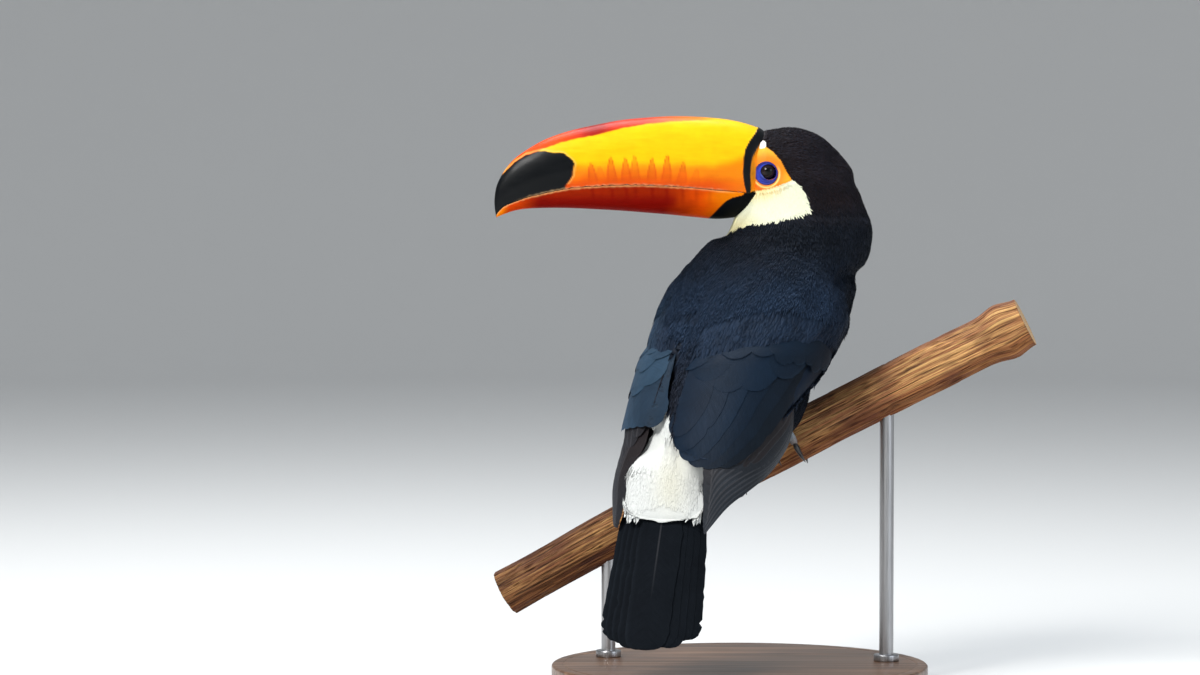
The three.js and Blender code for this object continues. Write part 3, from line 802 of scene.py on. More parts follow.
# the coat of small feathers: spacing of their roots, length, width and height of the tips, in millimetres
coatKinds = {
    "face": (0.9, 4.0, 0.8, 0.7), "cap": (1.0, 6.5, 0.85, 0.9), "neck": (1.12, 10.5, 1.0, 1.1),
    "valley": (1.2, 12.0, 1.3, 1.3), "mantle": (1.3, 12.0, 1.25, 1.1), "shoulder": (1.5, 13.0, 1.9, 0.85),
    "scapular": (1.9, 16.5, 3.4, 0.6), "bib": (0.8, 4.6, 1.0, 0.4), "rump": (0.9, 8.5, 1.7, 0.35),
    "vent": (1.3, 9.0, 1.4, 1.3),
}
coatSettings = {"candidates": 420000, "inPiece": 11000, "uneven": (0.16, 0.12, 0.16), "toneSpread": 0.11}
coatKeys = list(coatKinds)
coatTable = np.array(list(coatKinds.values()))


def isKind(kind, *keys):
    return np.isin(kind, [coatKeys.index(key) for key in keys])


def unwrapped(piece):
    activate(piece)
    bpy.ops.object.mode_set(mode="EDIT")
    bpy.ops.mesh.select_all(action="SELECT")
    bpy.ops.uv.smart_project(angle_limit=1.15, island_margin=0.004)
    bpy.ops.object.mode_set(mode="OBJECT")
    piece.data.uv_layers.active.name = "OFBake"


def skinSamples(count):
    # points spread over the skin by area, with the normal and the map point of each
    mesh = skin.data
    mesh.calc_loop_triangles()
    corners = read(mesh.loop_triangles, "vertices", 3, np.int32)
    loops = read(mesh.loop_triangles, "loops", 3, np.int32)
    flat = read(mesh.uv_layers["OFBake"].data, "uv", 2)
    a, b, c = (skinPoints[corners[:, i]] for i in range(3))
    area = np.linalg.norm(np.cross(b - a, c - a), axis=1)
    pick = dice.choice(len(corners), count, p=area / area.sum())
    r, t = np.sqrt(dice.random(count)), dice.random(count)
    share = np.stack([1 - r, r * (1 - t), r * t], 1)
    normals = normalsOf(mesh)
    spots = np.einsum("ni,nij->nj", share, skinPoints[corners[pick]])
    facing = unit(np.einsum("ni,nij->nj", share, normals[corners[pick]]))
    return spots, facing, np.einsum("ni,nij->nj", share, flat[loops[pick]])


def kindsOf(points, zone):
    ahead, above, aside = headPlace(points)
    x, y, z = localOf(trunkFrame, points).T
    kind = np.full(len(points), coatKeys.index("mantle"))

    def give(key, where):
        kind[where] = coatKeys.index(key)
    give("neck", above > -82 + 5 * np.sin(aside * 0.2))
    patchy, finer = 4 * grain(points, 7, 5), 5 * grain(points, 4, 6)
    for name, wing in wings.items():
        turn, place, side = wingPlace(points, wing)
        past = place - coatFront(name, turn) + patchy + finer
        back = side & (turn > -24) & isKind(kind, "mantle")
        give("shoulder", back & (past < 42))
        give("scapular", back & (past < 24))
    give("mantle", (np.abs(x + 3) < 16) & (y < 8) & isKind(kind, "shoulder", "scapular"))
    # the furrow between the wings opens towards the tail
    furrow = 3 + 11 * ease(-6, -42, y) + 2.5 * grain(points, 5, 4)
    give("valley", (np.abs(x + 3) < furrow) & (z > 20) & (y < -6))
    give("cap", (above > -14) & (ahead < -8))
    give("face", (above > -30) & (ahead >= -26) & (ahead > -34 + 0.7 * np.abs(above - 12)))
    for key in ("bib", "rump", "vent"):
        give(key, zone == zones[key])
    return kind


def plantCoat(candidates):
    # roots spread evenly: one for each small cube of space that the skin passes through
    spots, facing, flat = skinSamples(candidates)
    zone, tone = markings(spots)
    kind = kindsOf(spots, zone)
    ahead, above, _ = headPlace(spots)
    upperRear = marked(above, "bandHeight", "bandRear") + np.where(above > 31, 1.5, -1.5)
    lowerRear = np.interp(above, [-22, -17.5, -10, -2], [13.5, 11.5, 7.5, 2.5])
    band = (ahead > np.where(above > -2, upperRear, lowerRear)) & (above > -22)
    under, short, _ = underWing(spots)
    free = (zone != zones["bare"]) & ~under & ~band
    # none below the tail feathers, beside their root or on the end of the white
    dark = np.isin(zone, [zones["dark"], zones["cap"]])
    local, behind = localOf(trunkFrame, spots), localOf(tailFrame, spots)
    free &= ~(dark & (local[:, 1] < -82) & (local[:, 2] > 4))
    free &= ~(dark & (behind[:, 1] < rumpEnd + 14) & (behind[:, 2] > -14))
    upward = (facing @ tailFrame[:3, 1] > -0.3) & (facing @ tailFrame[:3, 2] > 0.05)
    free &= (zone != zones["rump"]) | ((behind[:, 1] > rumpEnd + 5.5) & upward)
    # short ones low on the belly, so that none shows below the wing
    short = np.where((spots[:, 2] < 152) & (spots[:, 0] > -16), np.minimum(short, 0.4), short)
    kept = []
    for k, (spacing, *rest) in enumerate(coatTable):
        here = np.nonzero(free & (kind == k))[0]
        cells = np.floor(spots[here] / spacing).astype(np.int64) + 4096
        keys = (cells[:, 0] << 28) + (cells[:, 1] << 14) + cells[:, 2]
        kept.append(here[np.unique(keys, return_index=True)[1]])
        print("coat of", coatKeys[k], len(kept[-1]))
    kept = np.concatenate(kept)
    return spots[kept], facing[kept], flat[kept], tone[kept], kind[kept], short[kept]


# a small feather's rows: share of its length, share of its width
vaneRows = [(0.0, 0.55), (0.4, 1.0), (0.78, 0.72), (1.0, 0.0)]


def growVanes(spots, facing, ways, kind, short, skinTree):
    # ten points for each feather: three across at the root, the middle and near the tip, and the tip itself
    count = len(spots)
    calm = np.where(isKind(kind, "rump", "bib", "shoulder", "scapular"), 0.4, 1.0)
    length, width, height = (coatTable[kind, i + 1] * (1 + spread * dice.standard_normal(count))
                             for i, spread in enumerate(coatSettings["uneven"]))
    length *= np.where(isKind(kind, "scapular"), 1.0, short)
    # the bib's last feathers lie over the dark ones below them
    ahead, above, _ = headPlace(spots)
    overEdge = ease(5.5, 1.5, above - marked(ahead, "bibFootAhead", "bibFoot"))
    height += 0.75 * overEdge * isKind(kind, "bib")
    # the white feathers over the tail end on one soft line
    reach = localOf(tailFrame, spots)[:, 1] - rumpEnd + 0.6 + 0.5 * dice.standard_normal(count)
    length = np.where(isKind(kind, "rump"), np.minimum(length, np.maximum(reach, 2.2)), length)
    stray = np.radians(dice.standard_normal(count) * np.where(isKind(kind, "valley"), 7, 3.5))
    side = np.cross(facing, ways)
    ways = unit(ways * np.cos(stray)[:, None] + side * np.sin(stray)[:, None])
    bend = dice.standard_normal(count) * 0.05 * length
    # feathers past the end of a cushion run on straight and don't bend round it
    holdWithin = np.where(isKind(kind, "rump", "vent", "valley"), 1.6, 6.0)
    points = np.empty((count, 10, 3))
    for row, (share, wide) in enumerate(vaneRows):
        centre = spots + ways * (length * share)[:, None] + side * (bend * share ** 2)[:, None]
        lift = -0.5 + (height + 0.5) * share ** 0.85
        normal = np.empty_like(centre)
        for i in range(count):
            place, out, _, _ = skinTree.find_nearest(Vector(centre[i]))
            step = np.array(place) - centre[i]
            hold = min(1.0, holdWithin[i] / max(math.sqrt(step @ step), 1e-6))
            normal[i] = out if hold == 1.0 else facing[i]
            centre[i] += step * hold
        normal = unit(normal * 0.7 + facing * 0.3)
        centre = centre + normal * lift[:, None]
        if row == len(vaneRows) - 1:
            points[:, 9] = centre
            break
        across = unit(np.cross(normal, ways)) * (width * wide * 0.5)[:, None]
        tilt = normal * (0.07 * calm * width * dice.standard_normal(count) * 0.5)[:, None]
        points[:, 3 * row] = centre - across - tilt
        points[:, 3 * row + 1] = centre + normal * (0.08 * width * wide * calm)[:, None]
        points[:, 3 * row + 2] = centre + across + tilt
    return points


# a vane's sixteen faces, its patch on the map and the painted shade of each of its points from root to tip,
# darkest at the root
vaneFaces = np.array([
    (0, 4, 1), (0, 3, 4), (1, 5, 2), (1, 4, 5), (3, 7, 4), (3, 6, 7), (4, 8, 5), (4, 7, 8),
    (6, 9, 7), (7, 9, 8), (0, 5, 3), (0, 2, 5), (3, 8, 6), (3, 5, 8), (6, 8, 9), (0, 1, 2),
])
vanePatch = 0.0015 * np.array([
    (-1, -1), (0, -1), (1, -1), (-1, -0.2), (0, -0.2), (1, -0.2), (-0.8, 0.6), (0, 0.6), (0.8, 0.6), (0, 1),
])
vanePaintedShade = np.array([0.0, 0.0, 0.0, 0.55, 0.65, 0.55, 0.85, 0.95, 0.85, 1.0])


def coatPieces(name, points, facing, tone, flat, material, shade, even):
    # joined feathers, split so that no piece is too heavy
    most = coatSettings["inPiece"]
    # painted shade at each vane's root, painted light at its tip
    light = shade[0] + (shade[1] - shade[0]) * vanePaintedShade
    for part in range(0, len(points), most):
        some = slice(part, part + most)
        count = len(points[some])
        faces = (vaneFaces[None] + np.arange(count)[:, None, None] * 10).reshape(-1, 3)
        shades = (tone[some][:, None, :] * light[None, :, None]).reshape(-1, 3)
        patch = (flat[some][:, None, :] + vanePatch[None]).reshape(-1, 2)
        number = str(part // most + 1)
        piece = meshPiece(name + "_" + number, points[some].reshape(-1, 3), faces, shades, {"OFBake": patch})
        if even:
            # pale feathers are shaded by the surface they lie on
            soft = unit(np.repeat(facing[some], 10, 0) * even + normalsOf(piece.data) * (1 - even))
            piece.data.normals_split_custom_set_from_vertices(soft.astype(np.float32))
        dress(piece, material)


unwrapped(skin)
skinTree = treeOf(skinPoints, skin.data.polygons)
spots, facing, flat, tone, kind, short = plantCoat(coatSettings["candidates"])
points = growVanes(spots, facing, lieAt(spots, facing), kind, short, skinTree)
unlike = coatSettings["toneSpread"] * dice.standard_normal(len(tone)) * np.where(tone.max(1) > 0.3, 0.25, 1.0)
tone = tone * np.exp(unlike)[:, None]
darkCoat = coatMaterial("dark_feathers", 0.58, 0.08, 0.05, (0.4, 0.6, 1.0))
paleCoat = coatMaterial("pale_feathers", 0.75, 0.2, 0.3, (1, 1, 1), 0.02)
redCoat = coatMaterial("red_feathers", 0.65, 0.15, 0.1, (1, 0.4, 0.3), 0.15)
darkKinds = ["mantle", "valley", "neck", "cap", "face"]
# for each part: its kinds, material and slot, painted shade at the root and painted light at the tip, and how
# far the skin's normals shade it
for name, keys, material, slot, shade, even in (
        ("dark_plumage", darkKinds, darkCoat, "dark_plumage", (0.82, 1.14), 0),
        # the scapulars are painted darker all over, as shade
        ("scapular_plumage", ["shoulder", "scapular"], darkCoat, "dark_plumage", (0.66, 0.80), 0.45),
        ("bib_plumage", ["bib"], paleCoat, "white_plumage", (0.95, 1.02), 0.85),
        ("rump_plumage", ["rump"], paleCoat, "white_plumage", (0.97, 1.02), 0.85),
        ("vent_plumage", ["vent"], redCoat, "red_plumage", (0.6, 1.15), 0)):
    chosen = isKind(kind, *keys)
    coatPieces(name, points[chosen], facing[chosen], tone[chosen], flat[chosen], material, shade, even)
dress(skin, coatMaterial("bare_skin", 0.5, 0.08, 0.0, (1, 1, 1), 0.03), fleshNodes)
print("coat", len(points), "feathers")


# large feathers, each a thin closed blade that bends with the surface it lies on, with nine points across
acrossShares = np.array([-1, -0.95, -0.78, -0.42, 0, 0.42, 0.78, 0.95, 1])
bladeSettings = {"underside": 0.7, "cells": 12, "inset": 0.03, "patch": (0.44, 0.94), "notch": 0.84}


class Quills:
    def __init__(self):
        self.points, self.faces, self.tones, self.vane, self.bake, self.count = [], [], [], [], [], 0

    def patches(self, rows, columns):
        # the blade's upper and under patches on the map, both in one cell of it
        cells = bladeSettings["cells"]
        cell = np.array([self.count % cells, self.count // cells]) / cells
        flat = np.stack([np.repeat((acrossShares[None] + 1) / 2, rows, 0),
                         np.repeat(np.linspace(0, 1, rows)[:, None], columns, 1)], -1).reshape(-1, 2)
        upper = cell + (bladeSettings["inset"] + flat * bladeSettings["patch"]) / cells
        return upper, upper + np.array([0.5, 0]) / cells

    def add(self, surface, metric, shaft, half, over, tone, thickness=0.3, camber=0.6, edge=None,
            ragged=0.05):
        # shaft: place on the surface for each row; half: half widths below and above the shaft for each row
        rows, columns, sides = len(shaft), len(acrossShares), acrossShares[None]
        scale = metric(shaft[:, 1])
        step = unit(np.stack([np.gradient(shaft[:, 0]) * scale, np.gradient(shaft[:, 1])], 1))
        half = half * (1 - ragged * dice.random(half.shape))
        for _ in range(dice.integers(0, 3)):
            row = dice.integers(rows // 3, rows - 3)
            half[row, dice.integers(0, 2)] *= bladeSettings["notch"]
        spread = np.where(sides < 0, half[:, :1], half[:, 1:]) * sides
        first = shaft[:, :1] + spread * -step[:, 1:] / scale[:, None]
        second = shaft[:, 1:] + spread * step[:, :1]
        height = over + camber * (1 - sides ** 2) * (half.sum(1) / max(half.sum(1).max(), 1e-6))[:, None]
        thin = thickness * (0.35 + 0.65 * (1 - np.abs(sides) ** 3)) * np.ones((rows, 1))
        top = surface(first, second, height + thin / 2)
        low = surface(first, second, height - thin / 2).reshape(-1, 3)
        walked = np.linalg.norm(np.diff(top[:, columns // 2], axis=0), axis=1)
        along = np.concatenate([[0], np.cumsum(walked)])
        vane = np.stack([spread, np.repeat(along[:, None], columns, 1)], -1).reshape(-1, 2) * mm
        colours = np.repeat(np.asarray(tone, float)[None], rows * columns, 0).reshape(rows, columns, 3)
        if edge is not None:
            colours[:, [0, 1]] = mix(colours[:, [0, 1]], edge, np.array([0.9, 0.45])[None].repeat(rows, 0))
        colours = colours.reshape(-1, 3)
        # upper faces, under faces and the strip round the rim
        quads, size = gridFaces(rows, columns), rows * columns
        rim = np.concatenate([np.arange(columns), np.arange(2, rows) * columns - 1,
                              size - 1 - np.arange(columns), np.arange(rows - 2, 0, -1) * columns])
        after = np.roll(rim, -1)
        strip = np.stack([rim, rim + size, after + size, after], 1)
        faces = np.concatenate([quads, quads[:, ::-1] + size, strip])
        upper, under = self.patches(rows, columns)
        loops = np.concatenate([upper, under])[faces]
        loops[-len(strip):] = upper[strip % size]
        self.faces.append(faces + sum(len(p) for p in self.points))
        self.points.append(np.concatenate([top.reshape(-1, 3), low]))
        self.tones.append(np.concatenate([colours, colours * bladeSettings["underside"]]))
        self.vane.append(np.concatenate([vane, vane])[faces].reshape(-1, 2))
        self.bake.append(loops.reshape(-1, 2))
        self.count += 1

    def piece(self, name, material, slot, replaced):
        points, faces, tones = (np.concatenate(rows) for rows in (self.points, self.faces, self.tones))
        made = meshPiece(name, points, faces, tones,
                         {"OFBake": np.concatenate(self.bake), "Vane": np.concatenate(self.vane)})
        made.data.validate()
        outward(made)
        made.data.set_sharp_from_angle(angle=math.radians(50))
        print(name, self.count, "feathers", len(made.data.polygons), "faces")
        return dress(made, material, replaced)


def rowShares(rows):
    # shares of a feather's length, closer together towards its tip
    t = np.linspace(0, 1, rows)
    return 1 - (1 - t) ** 1.5


def bladeWidth(t, widest, root=0.45, tipFrom=0.82, blunt=2.0):
    # half width along a feather that swells from its root and rounds off at its tip
    swell = root + (1 - root) * ease(0, 0.45, t)
    cap = np.clip((t - tipFrom) / (1 - tipFrom), 0, 1)
    return widest * swell * np.maximum(1 - cap ** blunt, 0.004) ** (1 / blunt)


wingTones = {
    # dim is painted shade low on the wing, lit is painted sky light on the left wing, flightEdge is a painted
    # sheen along each flight feather's edge
    "shield": (0.0030, 0.0100, 0.0225), "dim": (0.0025, 0.0060, 0.0115), "tertial": (0.0055, 0.0100, 0.0195),
    "flight": (0.0150, 0.0205, 0.0275), "flightEdge": (0.060, 0.072, 0.090),
    "brown": (0.0150, 0.0105, 0.0105),
    "lit": (0.021, 0.045, 0.076),
}


def pathOf(nodes, rows):
    # a smooth line through a few places on the wing, read closer together towards its end
    nodes = np.asarray(nodes, float)
    steps = np.hypot(np.diff(nodes[:, 0]) * 1.05, np.diff(nodes[:, 1]))
    reach = np.concatenate([[0], np.cumsum(steps)]) / steps.sum()
    t = rowShares(rows)
    return t, smoothLine(reach, nodes, t)


def pillow(name, first, second):
    # how far the shield's surface sinks towards its rounded margins
    low, high = shieldReach(name, second)
    q = np.clip(np.abs(first - (low + high) / 2) / np.maximum((high - low) / 2, 1), 0, 1)
    thick = np.interp(-second, [-v for v in shield["ahead"]], [0, 11, 13, 13, 13, 11, 8, 0])
    lower = ease(-62, -22, second)
    return -0.5 * thick * (1 - np.sqrt(1 - q ** 2)) * np.where(first > (low + high) / 2, 1.0, lower)


def tucked(name, first, second):
    # the front of every shield feather goes down under the small feathers of the back and shoulder
    front = coatFront(name, first)
    return -4.6 * ease(front - 27, front - 3, second)


def wingSurface(name, soft=1.0, late=1.0):
    # soft and late are how closely feathers follow the shield's rounding in front and behind
    sign = wings[name]["sign"]

    def surface(first, second, out):
        share = late + (soft - late) * ease(-108, -76, second)
        return wingPoint(sign, first, second,
                         out + share * (pillow(name, first, second) + tucked(name, first, second)))
    return surface


def wingMetric(y):
    # millimetres to a degree round the wing
    wide, tall = wingSize(y, True)
    return np.radians(1) * 0.5 * (wide + tall)


def wingFeather(quills, name, nodes, below, above, base, rise, tone,
                tilt=0.22, blunt=2.2, tipFrom=0.8, late=1.0, rows=26, **finish):
    # one feather whose lower edge, or shaft when below is 0, follows the nodes
    t, line = pathOf(nodes, rows)
    width = bladeWidth(t, 1.0, 0.6, tipFrom, blunt)
    over = base + rise * t[:, None] - 2.0 * (1 - ease(0, 0.4, t))[:, None] - tilt * acrossShares[None]
    over = over + dice.normal(0, 0.05)
    half = np.stack([width * below, width * above], 1)
    quills.add(wingSurface(name, 1.0, late), wingMetric, line, half, over,
               tone * (1 + dice.normal(0, 0.05)), **finish)


# the shield's long hind feathers run between these two lines of lower edges, of degrees and distance ahead
tertialEdges = {
    "right": ([(-14, 2), (-6, -20), (4, -46), (13, -72), (26, -90), (42, -101)],
              [(44, 14), (56, -14), (61, -40), (62, -62), (68, -77), (74, -86)], 11),
    "left": ([(-12, 8), (0, -12), (12, -32), (22, -50), (34, -62), (42, -68)],
             [(48, 20), (58, -4), (64, -28), (66, -50), (71, -66), (78, -77)], 2),
}
# rows of shorter feathers over them: tips from lowest to highest, length, half width, the row's height
coverRows = {
    "right": [
        ([(24, -28), (40, -43), (56, -50), (69, -46), (80, -36)], 62, 14.0, 0.35),
        ([(30, -11), (43, -22), (57, -26), (70, -23), (81, -16)], 50, 12.0, 0.65),
        ([(-18, 6), (-10, 0), (-1, -5), (8, -9), (17, -12), (27, -14)], 36, 8.4, 0.8),
        ([(-16, 31), (-6, 28), (5, 23), (16, 16), (28, 8), (40, -2), (52, -8), (64, -10), (77, -4)],
         34, 9.0, 1.0),
        ([(-15, 48), (-7, 45), (2, 40), (11, 34), (20, 28), (30, 19), (40, 11), (51, 6), (62, 4), (73, 8)],
         30, 7.6, 1.1),
    ],
    "left": [
        ([(24, -28), (38, -40), (51, -47), (62, -50), (71, -48)], 50, 13.0, 0.35),
        ([(22, -10), (38, -22), (52, -30), (64, -34), (73, -30)], 44, 12.0, 0.65),
        ([(16, 6), (32, -6), (48, -13), (62, -17), (73, -12)], 36, 10.0, 0.9),
        ([(-18, 10), (-8, 4), (2, 0), (12, -4)], 34, 8.6, 0.8),
        ([(-16, 34), (-6, 30), (6, 25), (18, 18), (32, 10), (46, 3), (60, -1), (73, 4)], 32, 8.6, 1.0),
        ([(-15, 52), (-6, 48), (5, 42), (17, 34), (30, 26), (44, 18), (58, 14), (72, 18)], 30, 7.8, 1.1),
    ],
}


shieldSettings = {"hind": 6, "below": 10.0, "above": 13.5, "leftRaised": 0.45, "turnSpread": 1.3,
                  "tipSpread": 2.0}


def hindFeathers(name, quills):
    low, high, bulge = (np.array(one, float) for one in tertialEdges[name])
    below, above = shieldSettings["below"], shieldSettings["above"]
    for i in range(shieldSettings["hind"]):
        share = i / (shieldSettings["hind"] - 1)
        nodes = low + (high - low) * share
        nodes[:, 1] -= bulge * math.sin(math.pi * share) * np.linspace(0, 1, len(nodes)) ** 2
        nodes[:, 0] += below * 0.97 / wingMetric(nodes[:, 1]) * np.linspace(1, 0.55, len(nodes))
        if name == "left":
            # painted sky light on the left wing's hind feathers, painted shade on the right wing's lowest
            # ones
            tone = mix(wingTones["lit"], wingTones["tertial"], share * 0.6)
        else:
            tone = mix(wingTones["dim"], wingTones["shield"], ease(0, 0.5, share))
            tone = mix(tone, wingTones["tertial"], ease(0.6, 1, share) * 0.5)
        wingFeather(quills, name, nodes, below, above, -2.8 + 0.14 * i, 1.1, tone, rows=34,
                    thickness=0.10, camber=0.12, tipFrom=0.84, blunt=2.3)


def coverFeathers(name, quills):
    raised = shieldSettings["leftRaised"] if name == "left" else 0
    t = np.linspace(0, 1, 5)
    for tips, length, half, height in coverRows[name]:
        for i, (turn, tip) in enumerate(tips):
            turn += dice.normal(0, shieldSettings["turnSpread"])
            tip += dice.normal(0, shieldSettings["tipSpread"])
            # feathers low on the wing slant up the trunk as they run back, those near its middle run straight
            slant = np.interp(turn, [-25, 10, 50, 85], [0.34, 0.40, 0.30, 0.08])
            nodes = np.stack([turn - slant * length * (1 - t) * (1 + 0.2 * t), tip + length * (1 - t)], 1)
            # painted shade low on the wing, painted sky light on the left wing
            tone = mix(wingTones["dim"], wingTones["lit" if name == "left" else "shield"],
                       ease(-20, 50, turn))
            # painted sky light along the edges of the feathers low on the wing
            pale = mix(tone, wingTones["lit"], 0.55 * float(ease(40, 5, turn)))
            wingFeather(quills, name, nodes, half, half * 1.1, -2.9 + raised + height + 0.05 * i, 1.15, tone,
                        tilt=0.15, thickness=0.11, camber=0.14, tipFrom=0.7, blunt=2.1, edge=pale)


# flight feathers: their lower edges fan out between two lines, and their tips step along a third
flightLines = {
    "right": {
        "y": [0, -27, -58, -87, -111, -131, -146], "edge": [-16, -20, -28, -29, -24, -12, 6],
        "step": [1.0, 1.7, 3.1, 4.5, 5.3, 5.4, 5.2],
        "tips": [(20, -146), (24, -144), (28, -141), (31, -137), (34, -132), (37, -127),
                 (39, -121), (41, -116), (43, -110), (45, -105), (47, -102)],
        "short": [(12, -90), (21, -97), (30, -103), (39, -108), (47, -106)], "lean": 26,
    },
    "left": {
        "y": [0, -24, -52, -79, -100, -119, -132], "edge": [-20, -23, -28, -24, -16, -6, 8],
        "step": [4.6, 6.0, 7.6, 8.4, 8.8, 9.6, 10],
        "tips": [(28, -134), (31, -137), (34, -139), (37, -140), (40, -138), (43, -133), (46, -127),
                 (48, -120), (50, -113), (52, -106), (55, -99)],
        "short": [(54, -94), (60, -89), (66, -83)], "lean": 4,
    },
}


# for each wing: the brown in its long and short flight feathers, and how far each hangs over across its width
flightLooks = {"right": (0.25, 0.75, 0.16), "left": (0.5, 0.6, 1.5)}


def flightFeathers(name, quills):
    lines = flightLines[name]
    backward = [-v for v in lines["y"]]
    longBrown, shortBrown, hang = flightLooks[name]
    hung = hang * (np.maximum(acrossShares, 0) if name == "left" else acrossShares)[None]
    t = rowShares(34)
    width, pull = bladeWidth(t, 1.0, 0.6, 0.80, 1.7), ease(0.45, 1.0, t)
    for j, (turn, tip) in enumerate(lines["tips"]):
        y = 2 - 3 * j + (tip - 2 + 3 * j) * t
        edge = np.interp(-y, backward, lines["edge"]) + j * np.interp(-y, backward, lines["step"])
        edge = edge * (1 - pull) + (turn - 1.5) * pull
        below, above = 3.4, 9.5 + 0.35 * j
        centre = edge + below * width / wingMetric(y)
        behind = ease(-72, -112, y)[:, None]
        over = -4.6 + 0.18 * j + 1.3 * behind - 1.8 * ease(2, 6, j) * (1 - behind)
        over = over - 5.0 * ease(-46, -14, y)[:, None] - hung
        tone = mix(wingTones["flight"], wingTones["brown"], longBrown + 0.35 * ease(4, 10, j))
        tone = tone * (1 + dice.normal(0, 0.06))
        half = np.stack([width * below, width * above], 1)
        # the edge colour is a painted sheen along each feather's lower edge
        quills.add(wingSurface(name, 1.0, 0.35), wingMetric, np.stack([centre, y], 1), half, over, tone,
                   thickness=0.22, camber=0.2, edge=mix(wingTones["flightEdge"], tone, 0.25), ragged=0.02)
    tone = mix(wingTones["flight"], wingTones["brown"], shortBrown)
    lean = lines["lean"] / 26
    for j, (turn, tip) in enumerate(lines["short"]):
        nodes = [(turn - side * lean, tip + ahead) for side, ahead in ((26, 70), (18, 45), (8, 20), (0, 0))]
        # with a painted sheen along each feather's lower edge
        wingFeather(quills, name, nodes, 6.5, 8.0, -4.2 + 0.1 * j, 0.8, tone,
                    late=0.35, thickness=0.2, camber=0.2, edge=mix(wingTones["flightEdge"], tone, 0.5),
                    tipFrom=0.82, ragged=0.03)


gloss = quillMaterial("wing_feathers", 0.55, 0.09, 0.04, (0.5, 0.68, 1.0), quill=0.0)
flightGloss = quillMaterial("flight_feathers", 0.5, 0.1, 0.02, (0.6, 0.7, 0.9), quill=0.2)
for name in wings:
    large = Quills()
    hindFeathers(name, large)
    coverFeathers(name, large)
    large.piece(name + "_wing_feathers", gloss, "wing_plumage", ())
    large = Quills()
    flightFeathers(name, large)
    large.piece(name + "_flight_feathers", flightGloss, "flight_feathers", [name + "_wing_tip"])


# the tail: long blades stacked under a broad middle one
tailSettings = {
    "length": 129, "feathers": 11, "spread": 3.7, "swing": 0.75, "layer": 0.55, "halfWidth": 11.5,
    "middleHalf": 16.5, "middleAside": 1.6, "root": 6, "bend": 0.0042,
    "tone": (0.0042, 0.0056, 0.0078), "edge": (0.0085, 0.011, 0.015),
}


def tailSurface(first, second, out):
    return placed(tailFrame, np.stack([first, second, out - tailSettings["bend"] * first ** 2], -1))


def tailFeathers():
    quills = Quills()
    root, t = tailSettings["root"], rowShares(34)
    places = np.arange(tailSettings["feathers"]) - (tailSettings["feathers"] - 1) / 2
    for k in sorted(places, key=lambda one: -abs(one)):
        middle = k == 0
        length = tailSettings["length"] * (1 - 0.0035 * k * k) + dice.normal(0, 0.8)
        y = root - (length + root) * t
        swing = math.tan(math.radians(tailSettings["swing"] * k))
        aside = tailSettings["middleAside"] if middle else 0
        centre = tailSettings["spread"] * k - swing * y + aside + dice.normal(0, 0.5) * t
        width = bladeWidth(t, tailSettings["middleHalf" if middle else "halfWidth"], 0.62, 0.88, 2.8)
        over = 0.6 - tailSettings["layer"] * abs(k) - (0.28 if k < 0 else 0) + 0.02 * np.arange(9)[None]
        tone = np.array(tailSettings["tone"]) * (1 + dice.normal(0, 0.08))
        line, half = np.stack([centre, y], 1), np.stack([width, width], 1)
        quills.add(tailSurface, np.ones_like, line, half, over, tone, thickness=0.34, camber=0.35,
                   edge=tailSettings["edge"], ragged=0.07)
    return quills


tailGloss = quillMaterial("tail_feathers", 0.8, 0.03, 0.0, (0.5, 0.7, 0.85), quill=0.2, fade=(0.060, 0.100))
tailFeathers().piece("tail_feathers", tailGloss, "flight_feathers", ["tail"])


# the bill: stations along it as places ahead and heights of the culmen, the cutting edge and the gonys
billStations = np.array([
    # ahead and height of the culmen, of the cutting edge and of the gonys, then the half width
    (-7.5, 39.5, 2.4, -2.0, 3.0, -16.5, 19.0), (-2.7, 42.9, 6.0, -2.6, 6.5, -17.8, 20.0),
    (3.4, 45.1, 9.0, -2.0, 10.0, -18.9, 20.5), (12.2, 47.25, 16.6, -1.3, 17.0, -20.3, 20.7),
    (25.3, 49.2, 28.0, -0.4, 28.0, -21.0, 20.6), (42.8, 50.5, 44.0, 1.2, 43.0, -19.7, 20.0),
    (60.3, 50.75, 60.3, 2.3, 60.3, -17.9, 19.0), (77.8, 49.7, 77.8, 3.1, 77.8, -16.4, 18.0),
    (95.0, 48.0, 95.0, 3.2, 95.0, -15.0, 16.8), (111.0, 45.0, 110.0, 2.5, 110.0, -14.1, 15.6),
    (125.0, 42.0, 125.0, 1.6, 125.0, -13.3, 14.3), (137.3, 38.5, 138.0, -0.3, 138.0, -12.95, 13.0),
    (149.5, 33.7, 150.0, -2.9, 150.0, -13.0, 11.4), (160.9, 27.1, 159.5, -5.2, 159.5, -13.35, 9.6),
    (169.2, 21.0, 166.5, -7.6, 166.5, -14.2, 8.0), (175.4, 14.0, 172.0, -9.6, 172.0, -15.6, 6.3),
    (179.7, 7.0, 176.3, -11.6, 176.0, -17.0, 4.8), (182.0, 1.2, 179.0, -14.0, 178.6, -18.0, 3.4),
    (183.2, -6.0, 180.8, -16.0, 180.4, -18.8, 2.2), (183.2, -12.0, 181.8, -17.6, 181.4, -19.2, 1.2),
    (182.3, -18.6, 181.9, -19.3, 181.7, -19.5, 0.25),
])
